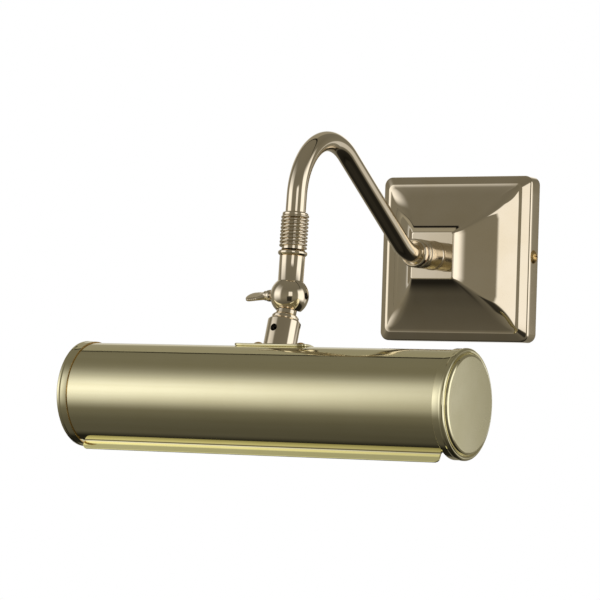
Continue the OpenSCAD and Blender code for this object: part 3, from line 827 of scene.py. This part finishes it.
# %% Turn the part that swings inside it
INNER_BALL = CAVITY - 0.3
NECK_END, RING_END, STEM_END = 12.0, 14.8, 28.0
BORE = 2.6
bore_angle = math.degrees(math.acos(BORE / INNER_BALL))
neck_angle = math.degrees(math.acos(NECK / INNER_BALL))
swivel_outline = [(BORE, -STEM_END)]
swivel_outline += arc_points((0, 0), INNER_BALL, bore_angle, -neck_angle, 40)
swivel_outline += [tuple(p) for p in rounded([
    (NECK, -6.6), (NECK, -NECK_END, 0.25), (6.9, -NECK_END, 0.25), (7.85, -NECK_END - 1.1, 0.4),
    (7.85, -RING_END, 0.2), (5.0, -RING_END, 0.1), (5.0, -STEM_END)
], steps=5, closed=False)]
swivel = spun("knuckle_swivel_turned", swivel_outline, arm_nickel, FROM_BALL, 96)
cross_hole = bar(PIN_HOLE, 2 * PIN_REACH, FROM_BALL @ ACROSS, 40)
cut(swivel, cross_hole)
stands_for(swivel, "shade", "polished_nickel", "knuckle_swivel")

# %% [markdown]
# ## The thumb screw
#
# The screw that clamps the knuckle is also its pivot. Its thumb paddle is forged flat, so it is lofted:
# a row of rounded sections along its length, wide and thin towards the tip, with small nicks along the
# edge for grip.

# %% Turn the screw and loft its paddle
PADDLE_ROOT = BALL + 3.9
PADDLE_LENGTH = 13.8
SCREW_TIP = BALL - 1.7

screw_outline = rounded([
    (0, -SCREW_TIP), (1.5, -SCREW_TIP, 0.0), (2.0, -SCREW_TIP + 0.5, 0.0), (2.0, BALL + 0.35, 0.1),
    (3.0, BALL + 0.4, 0.4), (3.5, BALL + 1.4, 0.8), (3.3, BALL + 3.0, 0.6), (2.9, BALL + 3.6, 0.4),
    (2.8, BALL + 5.4, 0.8), (0, BALL + 6.0)
], steps=5, closed=False)
TO_MINUS_X = ON_LEG @ Matrix.Rotation(math.radians(-90), 4, "Y")
thumb = spun("thumb_screw_forged", screw_outline, arm_nickel, TO_MINUS_X, 48)


def paddle_mesh():
    """Sections along the paddle: a flat, round-edged loop that widens, is notched, and then closes."""
    sections, around = 72, 32
    verts = []
    for i in range(sections + 1):
        t = i / sections
        swell = 2.9 + 1.9 * math.sin(min(t / 0.6, 1.0) * math.pi / 2)
        close = math.sqrt(max(0.0, 1.0 - max(0.0, (t - 0.7) / 0.3) ** 2))
        notches = 0.16 * math.cos(t * PADDLE_LENGTH * 2 * math.pi / 1.25) if 0.35 < t < 0.97 else 0.0
        half_width = max((swell + notches) * close, 0.02)
        half_thick = max((1.9 - 0.7 * min(t / 0.4, 1.0)) * close ** 0.4, 0.02)
        for k in range(around):
            angle = 2 * math.pi * k / around
            c, s = math.cos(angle), math.sin(angle)
            verts.append((
                half_thick * math.copysign(abs(s) ** 0.45, s),
                half_width * math.copysign(abs(c) ** 0.8, c),
                t * PADDLE_LENGTH,
            ))
    root = tuple(range(around - 1, -1, -1))
    tip = tuple(sections * around + k for k in range(around))
    return verts, [root] + between_loops(sections + 1, around) + [tip]


paddle_place = (
    TO_MINUS_X @ Matrix.Translation((0, 0, PADDLE_ROOT)) @ Matrix.Rotation(math.radians(-32), 4, "Z")
    @ Matrix.Rotation(math.radians(-5), 4, "Y")
)
paddle = new_piece("paddle", *paddle_mesh(), arm_nickel, paddle_place, 50.0)


def join(piece, *others):
    """Adds the others' faces to the piece's mesh."""
    work = bmesh.new()
    work.from_mesh(piece.data)
    for other in others:
        work.from_mesh(other.data)
        bpy.data.objects.remove(other)
    work.to_mesh(piece.data)
    work.free()
    piece.data.set_sharp_from_angle(angle=math.radians(40))
    return piece


join(thumb, paddle)
# The screw's tip sits sunk in the ball's hole and is painted black there: painted shade in the recess.
coat(thumb, black_oxide, lambda spot: spot.x > (SCREW_TIP - 0.6) * MM)
stands_for(thumb, "thumb_screw", "polished_nickel", "wing_screw")

# %% [markdown]
# ## The coupler and its saddle
#
# The swivel's stem is held in a stout collar by a sunk grub screw. The collar's foot is hollowed to the
# curve of a saddle plate, which two brass screws clamp to the shade.

# %% Turn the coupler and hollow its foot
TUBE = 30.0
COUPLER = 9.65
SADDLE_SHEET = 1.6
SADDLE_INNER = TUBE + SEAT_GAP
SADDLE_OUTER = SADDLE_INNER + SADDLE_SHEET
GRUB_HOLE, GRUB_DEPTH, GRUB_SIDE = 2.2, 22.5, math.radians(4.5)
coupler_top = shade_drop - RING_END - SEAT_GAP
coupler = spun("shade_coupler_turned", rounded([
    (5.1, 28.0), (COUPLER, 28.0), (COUPLER, coupler_top - 1.3, 0.5), (COUPLER - 1.0, coupler_top - 0.1, 0.5),
    (8.1, coupler_top, 0.2), (5.1, coupler_top)
], steps=5), arm_nickel, ON_SHADE)
saddle_bar = bar(SADDLE_OUTER + SEAT_GAP, 40, ON_SHADE @ Matrix.Translation((-20, 0, 0)) @ TURN_TO_X, 192)
grub_way = bar(GRUB_HOLE, 12, FROM_BALL @ Matrix.Translation((0, 0, -GRUB_DEPTH))
               @ Matrix.Rotation(-GRUB_SIDE, 4, "Z") @ Matrix.Rotation(math.radians(90), 4, "X"), 40)
cut(coupler, saddle_bar, grub_way)
stands_for(coupler, "shade", "polished_nickel", "shade_coupler")

# %% Roll the saddle plate
SADDLE_HALF, SADDLE_ARC = 23.4, math.radians(25)


def saddle_mesh():
    """Rounded-rectangle loops, laid on the tube's curve: under, round the edge, and over."""
    reach = SADDLE_OUTER * SADDLE_ARC
    under = [(0.0, 0.0), (0.5, 0.0), (0.97, 0.0), (0.99, 0.12), (1.0, 0.35)]
    loops = under + [(scale, SADDLE_SHEET - lift) for scale, lift in reversed(under)]
    verts = []
    for scale, lift in loops:
        for p in rounded_square(1.0, 0.2, 20, 8):
            x, run = p.x * SADDLE_HALF * scale, p.y * reach * scale
            angle = run / SADDLE_OUTER
            radius = SADDLE_INNER + lift
            verts.append((x, radius * math.sin(angle), radius * math.cos(angle)))
    return verts, between_loops(len(loops), len(verts) // len(loops))


saddle = new_piece("saddle_plate_rolled", *saddle_mesh(), shade_nickel, ON_SHADE, 45.0)
stands_for(saddle, "shade", "polished_nickel", "saddle_plate")

# %% [markdown]
# ## Screws, set out by nodes
#
# A dome-head screw is modelled once. Geometry Nodes then put a copy on each of the points that they are
# given, turned the way each point's own rotation says. Realize Instances makes them real meshes.

# %% One screw head and the tree that sets copies out
def dome_screw(name, head, height, shank, length, material):
    """A slotted dome head on a plain shank, drawn upright at the origin in millimetres."""
    crown = (head * head + height * height) / (2 * height)
    edge = math.degrees(math.asin(head / crown))
    outline = [
        (0, -length), (shank - 0.3, -length), (shank, -length + 0.4), (shank, 0),
        (head - 0.15, 0), (head, 0.15)
    ]
    outline += arc_points((0, height - crown), crown, 90 - edge + 2.5, 90, 14)
    screw = spun(name, outline, material, None, 48, 40.0)
    slot_verts = [
        (x, y, z) for x in (-head - 1, head + 1) for y in (-0.5, 0.5) for z in (height - 1.0, height + 2)
    ]
    slot_faces = [(0, 1, 3, 2), (4, 6, 7, 5), (0, 4, 5, 1), (2, 3, 7, 6), (0, 2, 6, 4), (1, 5, 7, 3)]
    return cut(screw, new_piece("cutter", slot_verts, slot_faces, material))


def copies_tree(material):
    tree = node_tree(
        "copies_on_points", ("pattern", "NodeSocketObject"), ("size", "NodeSocketFloat")
    )
    given = add(tree, "NodeGroupInput")
    pattern = add(tree, "GeometryNodeObjectInfo", {"transform_space": "ORIGINAL"}, {
        "Object": given.outputs["pattern"], "As Instance": True})
    turn = add(tree, "GeometryNodeInputNamedAttribute", {"data_type": "FLOAT_VECTOR"}, {"Name": "turn"})
    points = add(tree, "GeometryNodeMeshToPoints", {}, {0: given.outputs["Geometry"]})
    copies = add(tree, "GeometryNodeInstanceOnPoints", {}, {
        "Points": points.outputs[0], "Instance": pattern.outputs["Geometry"],
        "Rotation": turn.outputs[0], "Scale": given.outputs["size"]})
    end_tree(tree, copies.outputs[0], material)
    return tree


def set_out(name, pattern, places, tree):
    """places are matrices in metres; the pattern is drawn in millimetres."""
    mesh = bpy.data.meshes.new(name)
    mesh.from_pydata([place.to_translation() for place in places], [], [])
    turns = mesh.attributes.new("turn", "FLOAT_VECTOR", "POINT")
    for i, place in enumerate(places):
        turns.data[i].vector = place.to_euler("XYZ")
    piece = in_scene(name, mesh)
    grow(piece, tree, pattern=pattern, size=MM)
    piece.data.set_sharp_from_angle(angle=math.radians(40))
    bpy.data.objects.remove(pattern)
    return piece


print("dome screws and copies ready")

# %% Set out the brass screws
brass_copies = copies_tree(screw_brass)
side_seat = Matrix.Translation(((PLATE_HALF + SEAT_GAP) * MM, side_y, side_z))
side_place = side_seat @ TURN_TO_X @ Matrix.Rotation(math.radians(82), 4, "Z")
side_pattern = dome_screw("side_screw", 4.3, 2.4, 1.98, 6.5, screw_brass)
side_screw = set_out("cover_screw_domed", side_pattern, [side_place], brass_copies)
stands_for(side_screw, "wall_plate", "brass", "cover_screw")

SADDLE_SCREW_X = 14.0
saddle_places = [
    ON_SHADE @ Matrix.Translation((x, 0, SADDLE_OUTER + SEAT_GAP)) @ Matrix.Rotation(turn, 4, "Z")
    for x, turn in ((-SADDLE_SCREW_X, 0.6), (SADDLE_SCREW_X, -0.3))
]
saddle_pattern = dome_screw("saddle_screw", 3.75, 2.4, 1.95, 8.4, screw_brass)
saddle_screws = set_out("saddle_screws_domed", saddle_pattern, saddle_places, brass_copies)
stands_for(saddle_screws, "shade", "brass", "saddle_screws")

# %% [markdown]
# ## The shade
#
# The shade is sheet rolled into a tube and left open along the mouth. Both edges of the mouth are turned
# outwards as stiffening lips, which stop just short of the end caps with rounded corners. One grid does
# it all: across, it follows lip, fold, tube, fold and lip; along, its ends follow the lip's own outline.
# Each lip stands square to the tube, so light bounces between the two and comes back yellower. The
# lips' tint is warmer and brighter still, a painted reflection that adds more of that bounced yellow.

# %% Fold the shade from one sheet
SHEET = 0.8
TUBE_END = shade_half - 4.0
SKIRT_END = shade_half - 8.4
LIP_END = SKIRT_END - 2.5
LIP_HEIGHT, LIP_CORNER, FOLD = 5.4, 2.5, 0.6
FRONT_LIP, REAR_LIP = -96.6, -5.0


def lip_run(angle, mouth_side):
    """One lip's outer face and its fold, as (point, half length) from the lip's edge to the tube.
    mouth_side is 1 if the mouth lies at larger angles, or -1."""
    edge = math.radians(angle)
    out = Vector((math.cos(edge), math.sin(edge)))
    side = Vector((out.y, -out.x)) * mouth_side
    middle = side * (SHEET + FOLD)
    rise = math.sqrt((TUBE + FOLD) ** 2 - (SHEET + FOLD) ** 2)
    run = []
    for step in range(13):
        height = (TUBE + LIP_HEIGHT) * (1 - step / 12) + rise * step / 12
        over = height - (TUBE + LIP_HEIGHT - LIP_CORNER)
        inset = LIP_CORNER - math.sqrt(max(0.0, LIP_CORNER ** 2 - over ** 2)) if over > 0 else 0.0
        run.append((side * SHEET + out * height, LIP_END - inset))
    centre = middle + out * rise
    first = -side * FOLD
    last = -centre.normalized() * FOLD
    turn = first.angle_signed(last)
    for step in range(1, 7):
        spot = centre + Matrix.Rotation(-turn * step / 6, 2) @ first
        run.append((spot, LIP_END + 1.2 * step / 6))
    return run


def shade_mesh():
    """The sheet's outside as one grid, with its columns closer together towards the two ends."""
    front = lip_run(FRONT_LIP, 1)
    rear = lip_run(REAR_LIP, -1)
    start = math.degrees(math.atan2(front[-1][0].y, front[-1][0].x))
    end = math.degrees(math.atan2(rear[-1][0].y, rear[-1][0].x))
    sweep = (start - end) % 360
    arc = [
        (Vector(point), TUBE_END)
        for point in arc_points((0, 0), TUBE, start, start - sweep, 150)[1:-1]
    ]
    across = front + arc + rear[::-1]
    columns = [math.sin(math.pi / 2 * (2 * i / 40 - 1)) for i in range(41)]
    verts = []
    for spot, half in across:
        verts += [(half * column, spot.x, spot.y) for column in columns]
    return verts, between_loops(len(across), len(columns), closed=False)


shade = new_piece("shade_tube_rolled", *shade_mesh(), shade_nickel, ON_SHADE, 50.0)
face_out(shade, max(shade.data.polygons, key=lambda face: face.center.z), Vector((0, 0, 1)))
thicken(shade, SHEET, even=True)
soft_edge = shade.modifiers.new("soft edge", "BEVEL")
soft_edge.width = 0.16 * MM
soft_edge.segments = 2
soft_edge.limit_method = "ANGLE"
soft_edge.angle_limit = math.radians(60)
settle(shade)
shade.data.set_sharp_from_angle(angle=math.radians(50))
to_shade = ON_SHADE.inverted()


def off_axis(spot):
    """How far a point of the shade is from its axis, in millimetres."""
    here = to_shade @ spot
    return math.hypot(here.y, here.z)


# The lips get the painted-reflection tint, warmer for light bounced between lip and tube.
coat(shade, lip_nickel, lambda spot: off_axis(spot) > TUBE + 1.0)
stands_for(shade, "shade", "polished_nickel", "shade_tube")

# %% [markdown]
# ## The end caps
#
# Each end is closed by a spun cup: a thin skirt over the tube, a rolled bead, a groove, and a disc that
# stands slightly proud. The skirt's cut edge is bare brass. The left cap is the mirror image of the
# right one. Mirroring turns its faces inside out, and the mesh helper turns them out again.

# %% Spin the two end caps
CAP_SKIRT = TUBE + 0.75
CAP_BEAD = TUBE + 1.0
DISC = TUBE - 2.4
DISC_FLAT = DISC - 1.2
cap_outline = rounded([
    (TUBE + 0.03, SKIRT_END), (CAP_SKIRT, SKIRT_END, 0.2), (CAP_SKIRT, shade_half - 4.4, 0.35),
    (CAP_BEAD, shade_half - 3.7, 0.7), (CAP_BEAD, shade_half - 2.2, 0.9),
    (TUBE - 0.2, shade_half - 1.4, 0.9), (DISC + 1.0, shade_half - 1.7, 0.5),
    (DISC + 0.65, shade_half - 2.3, 0.2), (DISC + 0.4, shade_half - 2.3, 0.2),
    (DISC, shade_half - 0.5, 0.6), (DISC_FLAT, shade_half, 0.8), (0, shade_half),
    (0, shade_half - 0.9), (DISC_FLAT, shade_half - 0.9), (DISC - 0.9, shade_half - 2.9),
    (TUBE - 1.0, shade_half - 2.9), (TUBE + 0.03, shade_half - 4.0)
], steps=5)
first_on_axis = next(i for i, point in enumerate(cap_outline) if point[0] < 1e-6)
cap_outline = cap_outline[first_on_axis + 1:] + cap_outline[:first_on_axis + 1]
for name, node, place in (
    ("end_cap_right_spun", "end_cap_right", ON_SHADE @ TURN_TO_X),
    ("end_cap_left_spun", "end_cap_left", ON_SHADE @ Matrix.Scale(-1, 4, (1, 0, 0)) @ TURN_TO_X),
):
    cap = spun(name, cap_outline, rim_nickel, place, 160, 40.0)
    coat(cap, disc_nickel, lambda spot: off_axis(spot) < DISC_FLAT)
    coat(cap, screw_brass, lambda spot: abs(spot.x) < (SKIRT_END + 0.1) * MM)
    stands_for(cap, "shade", "polished_nickel", node)

# %% [markdown]
# ## The lamp and its holder
#
# Only someone looking up into the mouth sees these: a clear tubular lamp with a long supported filament,
# in a moulded holder. The glass is one spun shell with an inside and an outside, so light bends through
# it properly. The filament and its supports are thin curves given a round section.

# %% Spin the lamp's glass and mould the holder
LAMP, GLASS_WALL = 14.0, 0.9
GLASS_HALF = 49.0


def glass_outline(inset):
    """The bulb's outline from its neck to the tip on the axis, drawn in by the inset."""
    neck, body, tip = 7.4 - inset, LAMP - inset, GLASS_HALF - LAMP
    line = [(neck, -GLASS_HALF - 5.9), (neck, -GLASS_HALF + 1.0)]
    line += [(body * 0.62 + neck * 0.38, -GLASS_HALF + 3.4), (body * 0.9 + neck * 0.1, -GLASS_HALF + 6.0)]
    line += [(body, -GLASS_HALF + 9.5)]
    return line + arc_points((0, tip), body, 0, 90, 24)


lamp_outline = glass_outline(GLASS_WALL)[::-1] + glass_outline(0.0)
lamp = spun("lamp_glass_blown", lamp_outline, lamp_clear, ON_SHADE @ TURN_TO_X, 72, 40.0)
stands_for(lamp, "shade", "lamp_glass", "lamp_glass")

holder_low, holder_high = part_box("lampholder_body")
HOLDER_BACK, HOLDER_MOUTH = holder_low.x / MM, holder_high.x / MM
holder = spun("lampholder_moulded", rounded([
    (5.05, HOLDER_BACK), (10.6, HOLDER_BACK, 1.4), (11.4, HOLDER_BACK + 3, 0.8),
    (11.4, HOLDER_BACK + 13.5, 0.6), (13.2, HOLDER_BACK + 14.6, 0.5),
    (13.6, HOLDER_BACK + 15.6, 0.5), (13.6, HOLDER_BACK + 19, 0.3),
    (13.1, HOLDER_BACK + 19.6, 0.3), (13.1, HOLDER_BACK + 21, 0.3), (13.6, HOLDER_BACK + 21.6, 0.3),
    (13.5, HOLDER_MOUTH - 1.0, 0.9), (12.4, HOLDER_MOUTH, 0.5), (9.6, HOLDER_MOUTH, 0.4),
    (9.4, HOLDER_MOUTH - 2, 0.3), (9.4, HOLDER_BACK + 16), (4.0, HOLDER_BACK + 16), (4.0, HOLDER_BACK + 7),
    (5.05, HOLDER_BACK + 7)
], steps=4), white_moulding, ON_SHADE @ TURN_TO_X, 72)
stands_for(holder, "shade", "white_plastic", "lampholder_body")

# %% Hang the filament
def wire(points, radius, material, place, name="wire"):
    """A round wire through the points, as a mesh."""
    curve = bpy.data.curves.new(name, "CURVE")
    curve.dimensions = "3D"
    curve.bevel_depth = radius
    curve.bevel_resolution = 2
    curve.use_fill_caps = True
    spline = curve.splines.new("POLY")
    spline.points.add(len(points) - 1)
    for spot, point in zip(spline.points, points):
        spot.co = (*point, 1.0)
    drawn = in_scene(name, curve)
    graph = bpy.context.evaluated_depsgraph_get()
    mesh = bpy.data.meshes.new_from_object(drawn.evaluated_get(graph))
    bpy.data.objects.remove(drawn)
    mesh.transform(place)
    mesh.materials.clear()
    mesh.materials.append(material)
    piece = in_scene(name, mesh)
    tidy_mesh(mesh, 50.0)
    return piece


coil = [
    (x / 10, 0.55 * math.cos(x * 0.9), 0.55 * math.sin(x * 0.9)) for x in range(-330, 331, 2)
]
filament = wire(coil, 0.13, spring_steel, ON_SHADE, "lamp_filament")
supports = []
for x in (-33, -11, 11, 33):
    supports.append(wire([(x, 0.6, 0), (x, 2.5, -3.5), (x, 3.2, -6.0)], 0.18, zinc_plate, ON_SHADE))
supports.append(wire([(-52, 3.2, -6.0), (-40, 3.2, -6.0), (34, 3.2, -6.0)], 0.3, zinc_plate, ON_SHADE))
supports.append(wire([(-52, -1.5, 1.0), (-38, -1.0, 0.5), (-33, 0, 0.5)], 0.25, zinc_plate, ON_SHADE))
join(filament, *supports)
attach(filament, "shade")
print("filament of", len(filament.data.polygons), "faces")

# %% [markdown]
# ## Finishes for the pieces that stay as drawn
#
# Brackets, nuts, washers and leads are right as the CAD has them. They only need their material, which
# goes into the slots that they already have.

# %% Give each remaining node its finish
kept_nodes = {
    "wall_bracket": zinc_plate, "terminal_block": white_moulding, "terminal_screws": screw_brass,
    "earth_screw": screw_brass, "spring_washer": spring_steel, "fibre_washer": pressed_fibre,
    "swivel_stem": screw_brass, "lock_nut": screw_brass, "arm_lead": lead_sleeving,
    "grub_screw": black_oxide, "saddle_nuts": screw_brass, "lampholder_bracket": zinc_plate,
    "lampholder_stem": screw_brass, "lampholder_nuts": screw_brass, "lampholder_shell": screw_brass,
    "lampholder_contact": screw_brass, "lamp_lead": lead_sleeving, "lamp_cap": satin_nickel,
}
for node, material in kept_nodes.items():
    slots = frame["nodes"][node].data.materials
    if not slots:
        slots.append(material)
    for i in range(len(slots)):
        slots[i] = material
print("finished nodes:", len(kept_nodes))

# %% [markdown]
# ## The studio
#
# A mirror shows its surroundings, so lighting polished metal means arranging what it reflects: large
# soft panels for the bright bands, and dark gaps between them for the lines that draw the form. The
# camera sees plain white, reflections see a dim grey room with the panels in it, and matt surfaces such
# as the floor get an even white fill, so that they stay pale. Over the wall hangs a thin dark strip with
# a faint glow below it, and the tube mirrors both along its length.

# %% Camera
camera_data = bpy.data.cameras.new("camera")
camera_data.lens = 181.0
camera_data.sensor_width = 36.0
camera_data.clip_end = 20.0
camera = in_scene("camera", camera_data)
to_the_left, upwards, roll = (math.radians(angle) for angle in (29.7226, 2.2844, 1.8840))
camera.matrix_world = (
    Matrix.Translation((0.86509, -1.72395, -0.10594)) @ Matrix.Rotation(to_the_left, 4, "Z")
    @ Matrix.Rotation(math.radians(90) + upwards, 4, "X") @ Matrix.Rotation(roll, 4, "Z")
)
scene.camera = camera
print("camera stands %.2f m from the ball" % (camera.matrix_world.translation - ball).length)

# %% Panels, room and floor
class Sky(Finish):
    """The studio round the light, drawn by direction: bright soft panels in a dim room."""

    def __init__(self, name):
        self.world = bpy.data.worlds.new(name)
        self.world.use_nodes = True
        self.tree = self.world.node_tree
        self.tree.nodes.clear()
        self.output = self.tree.nodes.new("ShaderNodeOutputWorld")
        way = self.node("ShaderNodeTexCoord", out="Generated")
        self.east = self.node("ShaderNodeSeparateXYZ", {}, {0: way}, 0)
        self.north = self.node("ShaderNodeSeparateXYZ", {}, {0: way}, 1)
        self.height = self.node("ShaderNodeSeparateXYZ", {}, {0: way}, 2)
        self.bearing = self.maths("ARCTAN2", self.east, 0 - self.north)

    def within(self, value, low, high, soft):
        """1 between low and high, falling to 0 over a soft edge on each side."""
        middle, half = (low + high) / 2, (high - low) / 2
        away = self.maths("ABSOLUTE", value - middle)
        return self.node("ShaderNodeMapRange", {"interpolation_type": "SMOOTHSTEP"}, {
            "Value": away, "From Min": half + soft, "From Max": half - soft, "To Min": 0.0, "To Max": 1.0
        })

    def panel(self, bearings, elevations, soft, strength):
        """A panel between two bearings and two elevations, all in degrees. Bearing 0 is in front of the
        plate, positive to its right."""
        low, high = (math.radians(angle) for angle in bearings)
        bottom, top = (math.sin(math.radians(angle)) for angle in elevations)
        wide = self.within(self.bearing, low, high, math.radians(soft[0]))
        tall = self.within(self.height, bottom, top, math.sin(math.radians(soft[1])))
        return wide * tall * strength


sky = Sky("studio")
wall_foot = sky.within(sky.height, -0.97, -0.55, 0.06) * sky.within(sky.north, 0.15, 1.2, 0.15)
dim = sky.ramp(
    sky.height * 0.5 + 0.5, (0.0, 0.02), (0.07, 0.08), (0.15, 0.10), (0.27, 0.15), (0.40, 0.21),
    (0.52, 0.20), (0.8, 0.155), (1.0, 0.17)
) * (1 - wall_foot * 0.85)
camera_stand = sky.panel((14, 44), (-34, -6), (3, 5), 0.85)
over_wall = sky.maths("ARCTAN2", sky.height, sky.north)
glow_foot, glow_top = 0.35, math.radians(66)
line_foot, line_top = glow_top + 0.01, glow_top + 0.07
glow_side = sky.panel((-178, -100), (-80, 80), (6, 2), 0.13)
wall_glow = sky.within(over_wall, glow_foot, glow_top, 0.02) * glow_side
wall_line = sky.within(over_wall, line_foot, line_top, 0.015) * 0.95
panels = (
    sky.panel((-74, -28), (-9, 30), (9, 20), 0.98)
    + sky.panel((24, 46), (-2, 22), (1.5, 3), 0.80)
    + sky.panel((82, 126), (-20, 28), (5, 8), 1.0)
    + sky.panel((126, 154.3), (-20, 5), (0.6, 3), 0.38)
    + sky.panel((-176, -154), (-4, 22), (3, 5), 0.90)
    + sky.panel((-154, -122), (-2, 24), (4, 5), 0.40)
)
seen = sky.node("ShaderNodeLightPath", out="Is Camera Ray")
soft_fill = sky.node("ShaderNodeLightPath", out="Is Diffuse Ray") * 0.9
unseen = 1 - seen
white = (1.0, 1.0, 1.0, 1.0)
warm = (1.08, 1.0, 0.77, 1.0)
bright = seen + soft_fill + panels * unseen
backdrop = sky.node("ShaderNodeBackground", {}, {"Color": white, "Strength": bright})
room = (dim * (1 - camera_stand) * (1 - wall_line) + wall_glow) * unseen
walls = sky.node("ShaderNodeBackground", {}, {"Color": warm, "Strength": room})
both = sky.node("ShaderNodeAddShader", {}, {0: backdrop, 1: walls})
sky.tree.links.new(both.socket, sky.output.inputs["Surface"])
scene.world = sky.world

floor_finish = moulded("floor_paint", (0.72, 0.72, 0.71), (0.70, 0.70, 0.69), 0.6, 300.0, 0.0001)
FLOOR_DROP, FLOOR_HALF = -0.75, 2.5
floor_corners = [
    (x * FLOOR_HALF, y * FLOOR_HALF, FLOOR_DROP) for x, y in ((-1, -1), (1, -1), (1, 1), (-1, 1))
]
floor = new_piece("floor", floor_corners, [(0, 1, 2, 3)], floor_finish)
face_out(floor, floor.data.polygons[0], Vector((0, 0, 1)))
floor.visible_glossy = False
scene.view_settings.view_transform = "Standard"
print("studio of", len(sky.tree.nodes), "nodes")
